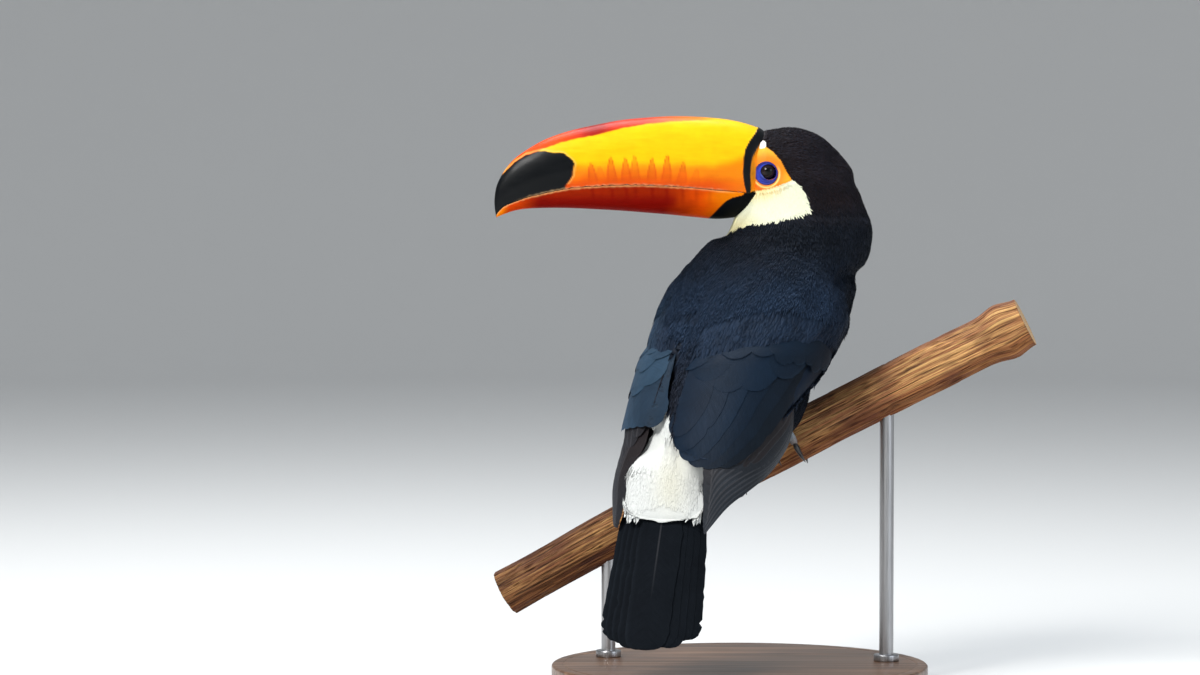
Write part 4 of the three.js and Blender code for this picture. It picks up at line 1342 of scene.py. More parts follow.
# stripe: places ahead and depths; patch: heights and places of its rear, places and heights of its top;
# teeth: place, height of the tip and strength of each flame; lowerBand: heights and places of its front
billMarks = {
    "stripe": ([20, 26, 43, 60, 80, 95, 111, 137, 160, 175, 180],
               [0, 0.5, 2.0, 3.0, 4.0, 5.2, 6.4, 5.6, 4.8, 2.6, 0]),
    "patchRear": ([-12, 3.5, 10, 18.4, 25.8], [135, 132.9, 128.6, 126.8, 131.5]),
    "patchTop": ([126, 134.7, 147.8, 160.9, 169, 175, 179], [19.0, 25.8, 27.3, 24.5, 19.5, 14.0, 9.0]),
    "teeth": [(114.6, 20, 1.0), (108.6, 17.5, 0.4), (101, 24.5, 1.0), (91, 23.6, 1.0), (84.8, 25.4, 0.8),
              (72.9, 23.6, 1.0),
              (62.8, 25.8, 1.0), (51.9, 21, 0.9), (42.1, 15.75, 0.5), (33, 8.3, 0.3)],
    "lowerBand": ([-21.5, -20.8, -7.9, -5.7, -3.9, -2], [34, 33.2, 20.9, 16.6, 8.5, 7.5]),
}
billTones = {
    "yellow": (0.84, 0.46, 0.002), "orange": (0.78, 0.19, 0.001), "red": (0.62, 0.052, 0.001),
    "deepRed": (0.19, 0.002, 0.001), "pink": (0.58, 0.030, 0.008), "black": (0.0030, 0.0038, 0.0048),
    "pale": (0.80, 0.50, 0.12), "tooth": (0.60, 0.070, 0.002), "worn": (0.62, 0.40, 0.20),
    "lowerPale": (0.80, 0.42, 0.16), "mouth": (0.25, 0.05, 0.03),
}


def billRows(count):
    # stations read along the bill, evenly by the culmen's length
    stations = np.arange(float(len(billStations)))
    steps = np.concatenate([[0], np.cumsum(np.hypot(*np.diff(billStations[:, :2], axis=0).T))])
    fine = np.linspace(0, stations[-1], 1200)
    places = np.interp(np.linspace(0, steps[-1], count), np.interp(fine, stations, steps), fine)
    return smoothLine(stations, billStations, places)


def upperTone(ahead, above, edge, wobble, fine):
    tone = np.tile(billTones["yellow"], (len(ahead), 1))
    rise = ease(0, 34, ahead)
    tone = mix(tone, billTones["orange"], ease(21.5, 12.5, above + 1.6 * wobble - 6 * (1 - rise)) * 0.95)
    low = ease(13, 2.5, above - edge * 0.6 + 1.5 * wobble)
    tone = mix(tone, billTones["red"], low * (0.25 + 0.65 * rise))
    for place, top, strength in billMarks["teeth"]:
        # a flame with a darker edge, leaning away from the middle of the row
        grown = np.clip((top - above) / (top - edge), 0, 1)
        lean = place + (place - 78) * 0.0035 * (above - 9) + 0.5 * wobble
        away = np.abs(ahead - lean) / (0.35 + 3.3 * np.sin(grown * math.pi / 2) ** 0.9)
        flame = 0.55 * ease(1.2, 0.8, away) + 0.4 * hump(away, 0.92, 0.22)
        flame *= (above < top) * ease(0, 0.14, grown) * (1 - 0.5 * ease(0.75, 1, grown))
        tone = mix(tone, billTones["tooth"], flame * strength)
    # the stripe along the culmen
    deep = np.interp(ahead, *billMarks["stripe"])
    down = np.interp(ahead, billStations[:, 0], billStations[:, 1]) - above
    red = ease(deep + 0.7, deep - 0.5, down + 0.35 * fine) * ease(22, 40, ahead) * ease(178, 172, ahead)
    stripe = mix(billTones["pink"], billTones["deepRed"], 0.8 * hump(ahead, 113, 13))
    stripe = mix(stripe, billTones["red"], ease(120, 140, ahead))
    tone = mix(tone, stripe, red * np.clip(0.35 + deep / 6, 0, 1))
    # the black patch at the tip, with a pale line before it
    rear, top = np.interp(above, *billMarks["patchRear"]), np.interp(ahead, *billMarks["patchTop"])
    inside = np.minimum(ahead - rear, (top - above) * 0.9) + 0.7 * wobble + 0.25 * fine
    inside = np.maximum(inside, (ahead - 177.5) * 0.8)
    tone = mix(tone, billTones["pale"], hump(inside, -0.7, 0.7) * 0.45 * (above > edge + 3))
    tone = mix(tone, billTones["black"], ease(-0.35, 0.45, inside))
    scuff = ease(1.5, 0.2, above - edge + 0.8 * fine) * ease(14, 30, ahead) * ease(172, 150, ahead)
    return mix(tone, billTones["worn"], scuff * 0.45)


def lowerTone(ahead, above, edge, wobble, fine):
    tone = np.tile(billTones["orange"], (len(ahead), 1))
    tone = mix(tone, billTones["red"], ease(16, 40, ahead + 4 * wobble) * 0.92)
    deep = ease(34, 66, ahead + 6 * wobble) * (0.80 + 0.18 * ease(-1, -9, above))
    tone = mix(tone, billTones["deepRed"], deep)
    tone = mix(tone, billTones["red"], ease(150, 168, ahead) * 0.8)
    tone = mix(tone, billTones["orange"], ease(172, 180, ahead))
    for place, _, strength in billMarks["teeth"]:
        lean = place + 0.12 * (above - 2) + 0.006 * (above - 2) ** 2
        streak = np.clip(1.2 - np.abs(ahead - lean + 0.8 * fine) / 1.7, 0, 1) * ease(-15, -3, above)
        tone = mix(tone, billTones["deepRed"], streak * 0.5 * strength)
    pale = ease(1.6, 0.3, edge - above + 0.6 * fine) * ease(12, 22, ahead)
    tone = mix(tone, billTones["lowerPale"], pale * 0.5)
    front = np.interp(above, *billMarks["lowerBand"])
    return mix(tone, billTones["black"], ease(-0.5, 0.6, front - ahead + 0.7 * wobble))


def billTone(ahead, above, upper, points):
    # the painted pattern of the bill, by the distance ahead and the height of each point
    wobble, fine = grain(points, 9, 3), grain(points, 2.6, 8)
    edge = np.interp(ahead, billStations[:, 2], billStations[:, 3])
    return (upperTone if upper else lowerTone)(ahead, above, edge, wobble, fine)


def billHalf(name, upper, rows, columns, material, node):
    line = billRows(rows)
    culmen, edge, gonys, wide = line[:, 0:2], line[:, 2:4], line[:, 4:6], line[:, 6]
    sign = 1 if upper else -1
    middle, half = (culmen[:, 1] + gonys[:, 1]) / 2, (culmen[:, 1] - gonys[:, 1]) / 2
    level = np.clip((edge[:, 1] - middle) / half, -0.97, 0.97)
    share = np.linspace(-1, 1, columns)
    end = sign * math.pi / 2
    angle = end + (np.arcsin(level) - end)[:, None] * np.abs(share)[None]
    u = (np.sin(angle) - level[:, None]) / (math.sin(end) - level[:, None])
    # the two halves stay a hair apart at the cutting edge
    start = edge + np.array([0, 0.18 * sign])
    flat = start[:, None, :] + ((culmen if upper else gonys) - start)[:, None, :] * u[..., None]
    lateral = np.sign(share)[None] * wide[:, None] * np.cos(angle) ** 0.85
    if upper:
        # a blunt keel along the culmen and a soft hollow above the cutting edge
        flat[..., 1] += hump(share[None], 0, 0.16) * 0.5 * ease(0, 20, flat[..., 0])
        lateral *= 1 - 0.035 * hump(np.abs(share), 0.86, 0.1)[None]
    # a row of cuts along the edge, fine and uneven, as the horn wears
    x = flat[:, :1, 0]
    wear = 0.35 * np.sin(x * 0.9 + 2 * np.sin(x * 0.23)) * ease(28, 60, x) * ease(170, 140, x)
    flat[..., 1] += (wear if upper else wear * 0.4) * np.clip((np.abs(share) - 0.9) / 0.1, 0, 1)[None]
    ahead, above = flat[..., 0], flat[..., 1]
    along = (ahead + headSlant[1] * np.abs(lateral)) / headSlant[0]
    points = np.stack([lateral, along, above], -1)
    # the band stands proud of the horn, and what lies behind it goes down into the face
    band = ease(-0.3, 0.3, marked(above, "bandHeight", "bandFront") - ahead) * upper
    rear = marked(above, "bandHeight", "bandRear")
    hidden = ease(rear + 0.3, rear - 0.3, ahead) * upper
    centre = np.stack([0 * along, along, np.repeat(middle[:, None], columns, 1)], -1)
    out = 0.45 * band * (1 - hidden) - 1.4 * ease(rear, rear - 2.5, ahead) * hidden
    points += unit(points - centre) * out[..., None]
    tone = billTone(ahead.ravel(), above.ravel(), upper, points.reshape(-1, 3)).reshape(rows, columns, 3)
    tone = mix(mix(tone, billTones["black"], band), tones["bare"], hidden * ease(33, 31, above))
    # a slightly domed bed closes each half, and a smaller ring ends it inside the face
    across = np.linspace(-1, 1, 7)[1:-1]
    bed = points[:, :1] + (points[:, -1:] - points[:, :1]) * ((1 + across[None, :, None]) / 2)
    bed[..., 2] += 0.8 * sign * (1 - across[None] ** 2)
    ring = np.concatenate([points, bed[:, ::-1]], 1)
    shades = np.concatenate([tone, np.tile(billTones["mouth"], (rows, len(across), 1))], 1)
    first = ring[0] * np.array([0.9, 1, 0.97]) + np.array([0, -8, 0])
    rings = placed(headFrame, np.concatenate([first[None], ring]))
    piece = tubePiece(name, rings, np.concatenate([shades[:1], shades]).reshape(-1, 3))
    return dress(piece, material, [node])


def hornMaterial(name, roughness, gloss=0.4):
    material, tree, shader = newMaterial(name, roughness, gloss, coat=0.5 * gloss, coatRoughness=0.16)
    streaks = noiseOf(tree, objectPoints(tree, (60, 320, 320)), 1.0, detail=4)
    blotch = noiseOf(tree, objectPoints(tree), 90)
    fine = noiseOf(tree, objectPoints(tree, (300, 1400, 1400)), 1.0)
    colour = brightened(tree, toneOf(tree), varied(tree, streaks, 0.93, 1.06))
    finished(tree, shader, brightened(tree, colour, varied(tree, blotch, 0.94, 1.05)),
             varied(tree, streaks, roughness - 0.05, roughness + 0.09),
             (plus(tree, streaks, times(tree, fine, 0.3)), 0.22, 0.0004))
    return material


# the horn's roughness and gloss, then the points along and across each half
upperHorn, lowerHorn = hornMaterial("bill_horn", 0.36, 0.11), hornMaterial("lower_bill_horn", 0.45, 0.02)
billHalf("bill_upper_horn", True, 250, 149, upperHorn, "bill_upper")
billHalf("bill_lower_horn", False, 250, 91, lowerHorn, "bill_lower")
print("bill ready")


# the eyes, their lids and the blue ring round each
eyeSettings = {
    "ahead": -6.2, "above": 13.0, "aside": 19.3, "radius": 5.9, "cornea": 0.28, "lookingOut": 58,
    "ringAhead": -5.0, "ringAbove": 11.4, "ringInner": 4.55, "ringWide": 8.1, "ringTall": 8.7,
    "ringThick": 1.5,
    "lid": 1.25, "swelling": 0.75, "wrinkle": 0.16, "pleat": 0.08,
}
ringTones = {
    "deep": (0.010, 0.016, 0.17), "blue": (0.024, 0.040, 0.35), "lit": (0.09, 0.14, 0.50),
    "inner": (0.010, 0.012, 0.03),
    "outer": (0.05, 0.012, 0.03), "rim": (0.85, 0.50, 0.10),
}


def eyeMaterial():
    # the map named Iris holds the distance from the middle of the eye and the turn round it
    material, tree, shader = newMaterial("eye_surface", 0.08, 0.12, coat=0.16, coatRoughness=0.02)
    split = node(tree, "SeparateXYZ", Vector=mapOf(tree, "Iris"))
    spread = split.outputs[0]
    wheel = node(tree, "CombineXYZ", X=times(tree, split.outputs[1], 46),
                 Y=times(tree, spread, 2.5)).outputs[0]
    rays = ranged(tree, noiseOf(tree, wheel, 1.0), 0.35, 0.65, 0.0, 1.0)
    iris = mixed(tree, rays, (0.006, 0.004, 0.006), (0.018, 0.010, 0.010))
    pupil = ranged(tree, spread, 0.38, 0.42, 1.0, 0.0)
    rim = ranged(tree, spread, 0.84, 0.98, 0.0, 1.0)
    colour = mixed(tree, pupil, iris, (0.002, 0.002, 0.002))
    finished(tree, shader, mixed(tree, rim, colour, (0.006, 0.005, 0.006)))
    return material


def makeEye(name, sign, material):
    deselect()
    radius = eyeSettings["radius"]
    bpy.ops.mesh.primitive_uv_sphere_add(segments=64, ring_count=40, radius=radius * mm, location=(0, 0, 0))
    piece = bpy.context.object
    piece.name = name + "_eyeball"
    mesh = piece.data
    local = pointsOf(mesh)
    # the sphere's pole looks out of the head, and the cornea bulges a little
    spread = np.arccos(np.clip(local[:, 2] / radius, -1, 1)) / math.radians(eyeSettings["lookingOut"])
    turn = np.arctan2(local[:, 1], local[:, 0])
    local[:, 2] += eyeSettings["cornea"] * ease(0.9, 0, spread)
    out = np.stack([sign * local[:, 2], local[:, 0] * sign, local[:, 1]], -1)
    centre = np.array([sign * eyeSettings["aside"], eyeSettings["ahead"], eyeSettings["above"]])
    setPoints(mesh, placed(headFrame, out + centre))
    corners = read(mesh.loops, "vertex_index", 1, np.int32)[:, 0]
    iris = np.stack([spread, np.abs(turn) / math.pi], 1)[corners]
    mesh.uv_layers.new(name="Iris").data.foreach_set("uv", iris.astype(np.float32).ravel())
    bpy.ops.object.shade_smooth()
    return dress(piece, material, [name + "_eye"])


def ringMaterial():
    material, tree, shader = newMaterial("eye_ring_skin", 0.45, 0.2, soft=0.03)
    where = objectPoints(tree)
    fine = noiseOf(tree, where, 1500)
    cells = node(tree, "TexVoronoi", Vector=where, Scale=1500.0).outputs["Distance"]
    finished(tree, shader, brightened(tree, toneOf(tree), varied(tree, fine, 0.8, 1.2)),
             bump=(plus(tree, fine, cells), 0.5, 0.0003))
    return material


def ringTone(e, turn):
    # e is the share of the way from the lid's edge to the outer rim
    lower = ease(0.2, -0.9, np.sin(turn))
    even = np.ones(len(turn))
    tone = mix(ringTones["deep"], ringTones["blue"], 0.5 + 0.5 * np.sin(turn * 2 + 4 * e))
    tone = mix(tone, ringTones["lit"], lower * hump(e, 0.17, 0.07) * 0.8)
    tone = mix(tone, ringTones["inner"], ease(0.09, 0.0, e) * even)
    tone = mix(tone, ringTones["outer"], ease(0.7, 0.9, e) * even * 0.7)
    return mix(tone, ringTones["rim"], ease(0.86, 0.97, e) * even * lower * 0.8)


def makeRing(name, sign, material):
    around, across = 96, 22
    turn = turnsOf(around)
    eyeMiddle = np.array([eyeSettings["ahead"], eyeSettings["above"]])
    ringMiddle = np.array([eyeSettings["ringAhead"], eyeSettings["ringAbove"]])
    wideFrom, tallFrom = eyeSettings["ringInner"] * 1.1, eyeSettings["ringInner"] * 0.98
    inwards = -sign * headFrame[:3, 0]
    rings, tones = [], []
    for e in np.linspace(0, 1, across):
        middle = mix(eyeMiddle, ringMiddle, ease(0, 1, e))
        wide = wideFrom + (eyeSettings["ringWide"] - wideFrom) * e
        tall = tallFrom + (eyeSettings["ringTall"] - tallFrom) * e
        spots = np.stack([np.full(around, sign * 60.0), middle[0] + wide * np.cos(turn),
                          middle[1] + tall * np.sin(turn)], 1)
        hits = []
        for one in placed(headFrame, spots):
            place = skinTree.ray_cast(Vector(one), Vector(inwards))[0]
            hits.append(np.array(place) if place is not None else one + inwards * 36)
        wrinkle = eyeSettings["wrinkle"] * np.sin(e * 26 + 0.8 * np.sin(3 * turn))
        wrinkle = wrinkle * ease(0.1, 0.3, e) * ease(1.0, 0.8, e)
        pleat = eyeSettings["pleat"] * np.sin(turn * 34 + 5 * np.sin(2 * turn)) * ease(0.15, 0.5, e)
        lid = eyeSettings["lid"] * hump(e, 0.10, 0.13)
        lid = lid + eyeSettings["swelling"] * ease(0, 0.2, e) * ease(1.02, 0.78, e)
        dip = -1.6 * ease(0.06, 0.0, e)
        out = lid + dip + wrinkle + pleat - 0.35 * ease(0.85, 1, e)
        rings.append(np.array(hits) - inwards * out[:, None])
        tones.append(ringTone(e, turn))
    # two more rings close it behind
    rings += [rings[-1] + inwards * eyeSettings["ringThick"], rings[0] + inwards * eyeSettings["ringThick"]]
    tones += [tones[-1], tones[0]]
    faces = closedSheet(len(rings), around)
    piece = meshPiece(name + "_eye_ring", np.concatenate(rings), faces, np.concatenate(tones))
    outward(piece)
    return dress(piece, material)


def closedSheet(rows, around):
    # a ring of rings: the last row joins the first
    i, j = np.meshgrid(np.arange(rows), np.arange(around), indexing="ij")
    n, k = (i + 1) % rows, (j + 1) % around
    return np.stack([i * around + j, i * around + k, n * around + k, n * around + j], -1).reshape(-1, 4)


eyeSurface, ringSkin = eyeMaterial(), ringMaterial()
for name, wing in wings.items():
    makeEye(name, wing["sign"], eyeSurface)
    makeRing(name, wing["sign"], ringSkin)
print("eyes ready")


# the branch's middle line, and the frame beside it at a given place along X
branchPoints = np.array([
    (-215, 62, 31), (-150, 51, 69), (-90, 42, 103.5), (-30, 34, 136), (36, 26, 171.5), (110, 16, 210.5),
    (180, 6, 246), (240, -2, 276),
], float)
branchSettings = {"radius": 17.5, "span": (-165, 200), "rows": 460, "around": 132, "knot": (186, 9, 3.2),
                  "bevel": 48}
# bark: painted shade towards one end and painted light towards the other, purple-brown along the top, and
# red-brown painted shade below
barkTones = {
    "usual": (1.0, 0.97, 0.93), "top": (0.50, 0.42, 0.50), "under": (0.62, 0.46, 0.40),
    "paintedShadeEnd": (0.52, 0.44, 0.38), "paintedLightEnd": (1.08, 1.0, 0.95),
}
# a cut end, from the rim to the middle: share of the radius, bulge in millimetres and shade
cutEnd = np.array([(1.0, 0, 0.45), (0.985, -0.5, 0.6), (0.93, -0.8, 0.95), (0.8, -0.9, 1), (0.62, -0.9, 1),
                   (0.42, -0.85, 0.98), (0.2, -0.8, 0.9), (0.0, -0.8, 0.8)])
branchRadius = branchSettings["radius"]


def branchFrames(xs):
    xs = np.asarray(xs, float)
    at = smoothLine(branchPoints[:, 0], branchPoints, xs)
    ahead, behind = (smoothLine(branchPoints[:, 0], branchPoints, xs + step) for step in (1, -1))
    along = unit(ahead - behind)
    up = unit(np.array([0, 0, 1.0]) - along * along[:, 2:3])
    return at, along, up, np.cross(along, up)


def roundBranch(x, degrees, off):
    at, along, up, front = branchFrames(np.atleast_1d(x))
    angle = np.radians(np.atleast_1d(degrees))[:, None]
    off = np.atleast_1d(off)[:, None]
    return at + up * np.cos(angle) * off + front * np.sin(angle) * off


def grainNoise(tree, scale, **settings):
    # noise drawn out along the branch's grain
    where = node(tree, "Mapping", Vector=mapOf(tree, "Grain"), Scale=(*scale, 1)).outputs[0]
    return noiseOf(tree, where, 1.0, **settings)


def barkMaterial():
    material, tree, shader = newMaterial("bark_wood", 0.78, 0.3)
    fibres = grainNoise(tree, (42, 1700), detail=6, rough=0.65, distortion=0.4)
    strips = grainNoise(tree, (16, 620), detail=5, distortion=0.8)
    cracks = ranged(tree, grainNoise(tree, (26, 700), detail=2, distortion=0.6), 0.30, 0.40, 1, 0)
    patches = noiseOf(tree, objectPoints(tree), 28)
    warm = mixed(tree, ranged(tree, fibres, 0.36, 0.64, 0, 1), (0.105, 0.040, 0.020), (0.50, 0.24, 0.095))
    tan = mixed(tree, ranged(tree, strips, 0.44, 0.62, 0, 0.9), warm, (0.72, 0.47, 0.19))
    colour = mixed(tree, ranged(tree, patches, 0.42, 0.66, 0, 0.7), tan, (0.17, 0.062, 0.040))
    colour = mixed(tree, times(tree, cracks, 0.8), colour, (0.035, 0.017, 0.010))
    grown = node(tree, "VectorMath", {"operation": "MULTIPLY"})
    tree.links.new(colour, grown.inputs[0])
    tree.links.new(toneOf(tree), grown.inputs[1])
    height = figured(tree, "SUBTRACT", plus(tree, fibres, times(tree, strips, 0.8)), cracks)
    finished(tree, shader, grown.outputs[0], bump=(height, 0.8, 0.0012))
    return material


def cutWoodMaterial():
    material, tree, shader = newMaterial("cut_wood", 0.7, 0.3)
    split = node(tree, "SeparateXYZ", Vector=mapOf(tree, "Grain"))
    wander = times(tree, noiseOf(tree, objectPoints(tree), 90), 0.0022)
    rings = figured(tree, "SINE", times(tree, plus(tree, split.outputs[0], wander), 3600))
    pores = noiseOf(tree, objectPoints(tree), 1800, detail=2)
    colour = mixed(tree, ranged(tree, rings, -1, 1, 0, 1), (0.50, 0.30, 0.15), (0.66, 0.45, 0.25))
    finished(tree, shader, brightened(tree, colour, varied(tree, pores, 0.75, 1.1)),
             bump=(plus(tree, rings, pores), 0.3, 0.0004))
    return material


def eachRow(values, count):
    # one value for each row, repeated along the row
    return np.repeat(np.asarray(values)[:, None], count, 1)


def eachColumn(values, count):
    return np.repeat(np.asarray(values)[None], count, 0)


def branchSide(xs, turn):
    # points and tones of the bark, rough with plates, fibres and grooves, with painted shade in the grooves
    rows, around = len(xs), len(turn)
    at, _, up, front = branchFrames(xs)
    knotAt, knotWide, knotHigh = branchSettings["knot"]
    radius = branchRadius * (0.94 + 0.06 * ease(-150, 30, xs))
    radius = radius + knotHigh * hump(xs, knotAt, knotWide) + 0.35 * np.sin(xs / 17)
    ring = up[:, None] * np.cos(turn)[None, :, None] + front[:, None] * np.sin(turn)[None, :, None]
    flat = np.stack([eachRow(xs / 90, around), eachColumn(np.cos(turn) * 2.2, rows),
                     eachColumn(np.sin(turn) * 2.2, rows)], -1)
    plates, fibre, strand = (grain(flat.reshape(-1, 3) * scale, 1.0, seed).reshape(rows, around)
                             for scale, seed in (((1, 1, 1), 2), ((2.2, 4.2, 4.2), 5), ((3.5, 9, 9), 9)))
    groove = -1.3 * ease(0.62, 0.95, 1 - np.abs(fibre) * 2.4)
    rough = 0.55 * plates + 0.45 * fibre + 0.35 * strand + groove * 0.7
    points = at[:, None] + ring * (radius[:, None] - 0.25 + np.minimum(rough, 0.5))[..., None]
    # plates and strands vary the tone; the grooves are painted darker, as shade in them
    shade = np.clip(0.95 + 0.25 * plates + 0.2 * strand + 0.25 * groove, 0.35, 1.35)
    tones = shade[..., None] * np.array(barkTones["usual"])
    tones *= mix(np.ones(3), barkTones["top"], ease(0.80, 0.97, np.cos(turn) + 0.12 * plates))
    # painted shade on the underside, red-brown
    tones *= mix(np.ones(3), barkTones["under"], ease(-0.15, -0.6, np.cos(turn) + 0.2 * plates))
    # painted shade towards the low end, painted light towards the high end
    tones *= mix(barkTones["paintedShadeEnd"], barkTones["paintedLightEnd"], ease(-70, 60, xs)[:, None])
    return points, tones


def makeBranch():
    rows, around = branchSettings["rows"], branchSettings["around"]
    xs, turn = np.linspace(*branchSettings["span"], rows), turnsOf(around)
    at, forward = branchFrames(xs)[:2]
    points, tones = branchSide(xs, turn)
    period = 2 * math.pi * branchRadius * mm
    flatMap = np.stack([eachRow(xs, around), eachColumn(turn * branchRadius, rows)], -1).reshape(-1, 2) * mm
    quads = gridFaces(rows, around, closed=True)
    side = meshPiece("perch_bark", points.reshape(-1, 3), quads, tones.reshape(-1, 3),
                     {"Grain": seamless(flatMap[quads], period).reshape(-1, 2)})
    share, bulge, shade = cutEnd.T
    steps = len(share)
    faces = gridFaces(steps, around, closed=True)
    pieces = [side]
    for name, end, row in (("low", -1, 0), ("high", 1, rows - 1)):
        rim = points[row] - at[row]
        disc = at[row] + rim[None] * share[:, None, None] + end * forward[row] * (0.6 * bulge)[:, None, None]
        mapping = np.stack([eachRow(share * branchRadius * mm, around), eachColumn(turn, steps)], -1)
        tone = eachRow(shade, around)[..., None] * np.ones(3)
        facing = faces if end < 0 else faces[:, ::-1]
        pieces.append(meshPiece("perch_end_" + name, disc.reshape(-1, 3), facing, tone.reshape(-1, 3),
                                {"Grain": mapping.reshape(-1, 2)}))
    activate(side)
    for piece in pieces:
        piece.data.materials.append(barkWood)
        piece.data.materials.append(cutWood)
        if piece is not side:
            piece.data.polygons.foreach_set("material_index", np.ones(len(piece.data.polygons), np.int32))
        piece.select_set(True)
    bpy.ops.object.join()

    def closed(work):
        bmesh.ops.remove_doubles(work, verts=work.verts, dist=1e-6)
        bmesh.ops.recalc_face_normals(work, faces=work.faces)
    edited(side.data, closed)
    side.data.set_sharp_from_angle(angle=math.radians(branchSettings["bevel"]))
    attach(side, "root")
    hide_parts("perch")
    return side


def seamless(loopMap, period):
    # the last strip of faces runs on past the seam instead of back across the map
    wide = loopMap[..., 1].max(1) - loopMap[..., 1].min(1) > period / 2
    low = loopMap[..., 1] < period / 2
    loopMap[..., 1] += period * (wide[:, None] & low)
    return loopMap


barkWood, cutWood = barkMaterial(), cutWoodMaterial()
makeBranch()
print("branch ready")


# feet: scaled toes gripping the branch, with a claw on each
toeSettings = {"radius": 3.3, "spread": 12, "wrap": 104, "gap": 0.3, "scutes": 17, "rows": 96, "around": 28}
clawSettings = {"rows": 44, "around": 22, "start": -11, "turn": 45,
                "sizes": [0.62, 0.84, 0.72, 0.5, 0.27, 0.05]}
shankSettings = {
    "rows": 90, "around": 36, "scutes": 24, "low": (1.6, 4.2, 9),
    "high": ((-12, -44), (-22, -34), (-24, -28)),
    "aside": 22, "sizes": [4.5, 6.0, 4.4, 4.4, 4.8, 3.0],
}
toePads = [0.55, 1.12, 1.02, 1.16, 0.96, 1.1, 0.88, 0.98, 0.72]
# for each toe: whether it points back, its spread and how far it wraps round the branch
toePlan = [(False, 0.5, 1.12), (False, -0.6, 0.98), (True, 0.65, 1.04), (True, -0.5, 0.86)]
feetAt = {"right": 32, "left": -11}
footTones = {
    "dark": (0.20, 0.235, 0.27), "pale": (0.34, 0.385, 0.42), "tip": (0.17, 0.115, 0.09),
    "claw": (0.020, 0.019, 0.021), "clawRoot": (0.055, 0.05, 0.05),
}


def limbRings(middle, side, wide, tall, around):
    # oval rings along a bent line
    forward = unit(np.gradient(middle, axis=0))
    right = unit(side - forward * (side * forward).sum(1, keepdims=True))
    turn = turnsOf(around)
    return (middle[:, None] + right[:, None] * (wide[:, None] * np.cos(turn))[..., None]
            + np.cross(right, forward)[:, None] * (tall[:, None] * np.sin(turn))[..., None])


def footTone(points, share, scute, depth, strength):
    # lumpy grey-blue skin, browner at the tip, with painted shade in the creases between its scutes
    tone = mix(footTones["dark"], footTones["pale"], 0.5 + 0.5 * grain(points, 3.2, 4))
    tone = mix(tone, footTones["tip"], ease(0.80, 0.95, share) * 0.75)
    # painted shade in the creases
    return mix(tone, tone * depth, (hump(scute, 0, 0.10) * strength).ravel())


def makeToe(name, footX, side, back, spread, wrap):
    rows, around, radius = toeSettings["rows"], toeSettings["around"], toeSettings["radius"]
    share = np.linspace(0, 1, rows)
    degrees = (1 if back else -1) * (share * wrap * toeSettings["wrap"] - 5)
    off = branchRadius + toeSettings["gap"] + 0.6 + radius * (1 + 0.25 * (1 - share))
    middle = roundBranch(footX + spread * toeSettings["spread"] * np.minimum(1, 1.6 * share), degrees, off)
    pad = smoothLine(np.linspace(0, 1, len(toePads)), toePads, share)
    closing = np.sqrt(np.clip(1 - ((share - 0.93) / 0.07).clip(0) ** 2, 0.02, 1))
    wide, tall = pad * radius * (1.12 - 0.26 * share) * closing, pad * radius * (1 - 0.2 * share) * closing
    rings = limbRings(middle, side, wide, tall, around)
    out = unit(rings - middle[:, None])
    away = unit(middle - branchFrames(middle[:, 0])[0])
    facing = (out * away[:, None]).sum(-1)
    # broad overlapping scutes along the top, small grains below
    scute = (share[:, None] * toeSettings["scutes"] + 0.25 * np.cos(turnsOf(around))[None]) % 1.0
    ridge = (0.42 * scute ** 2 - 0.25 * hump(scute, 0, 0.09)) * ease(-0.1, 0.5, facing)
    under = 0.16 * grain(rings.reshape(-1, 3), 1.1, 6).reshape(facing.shape) * ease(0.3, -0.3, facing)
    rings = rings + out * (ridge + under)[..., None]
    tones = footTone(rings.reshape(-1, 3), np.repeat(share, around), scute, 0.35,
                     ease(-0.1, 0.4, facing) * 0.9)
    return tubePiece(name, rings, tones)


def makeShank(name, sign, footX, side):
    rows, around = shankSettings["rows"], shankSettings["around"]
    low = [roundBranch(footX, 0, branchRadius + toeSettings["gap"] + off)[0] for off in shankSettings["low"]]
    high = [placed(trunkFrame, (sign * shankSettings["aside"], y, z)) for y, z in shankSettings["high"]]
    stations, places = np.arange(6.0), np.linspace(0, 5, rows)
    middle = smoothLine(stations, np.array(low + high), places)
    wide = smoothLine(stations, shankSettings["sizes"], places)
    rings = limbRings(middle, side, wide, wide * 0.96, around)
    scute = (np.linspace(0, 1, rows)[:, None] * shankSettings["scutes"]
             + 0.3 * np.cos(turnsOf(around))[None]) % 1.0
    ridge = 0.35 * scute ** 2 - 0.2 * hump(scute, 0, 0.09)
    rings = rings + unit(rings - middle[:, None]) * ridge[..., None]
    tones = footTone(rings.reshape(-1, 3), np.zeros(rows * around), scute, 0.4, 0.8)
    return tubePiece(name, rings, tones)


def makeClaw(name, number, footX, side, back, spread, wrap):
    rows, around, radius = clawSettings["rows"], clawSettings["around"], toeSettings["radius"]
    share = np.linspace(0, 1, rows)
    sizes = smoothLine(np.linspace(0, 1, 6), clawSettings["sizes"], share)
    degrees = (1 if back else -1) * (
        wrap * toeSettings["wrap"] + clawSettings["start"] + clawSettings["turn"] * share)
    off = branchRadius + toeSettings["gap"] + 0.8 + radius * (0.95 + 0.75 * np.sin(share * 2.2))
    middle = roundBranch(np.full(rows, footX + spread * toeSettings["spread"]), degrees, off)
    rings = limbRings(middle, side, sizes * radius * 0.72, sizes * radius, around)
    root = np.repeat(ease(0.35, 0.0, share), around) * (0.5 + 0.5 * grain(rings.reshape(-1, 3), 1.6, 7))
    piece = tubePiece(name + "_claw_horn_" + number, rings,
                      mix(footTones["claw"], footTones["clawRoot"], root))
    dress(piece, clawHorn, [name + "_claw_" + number])


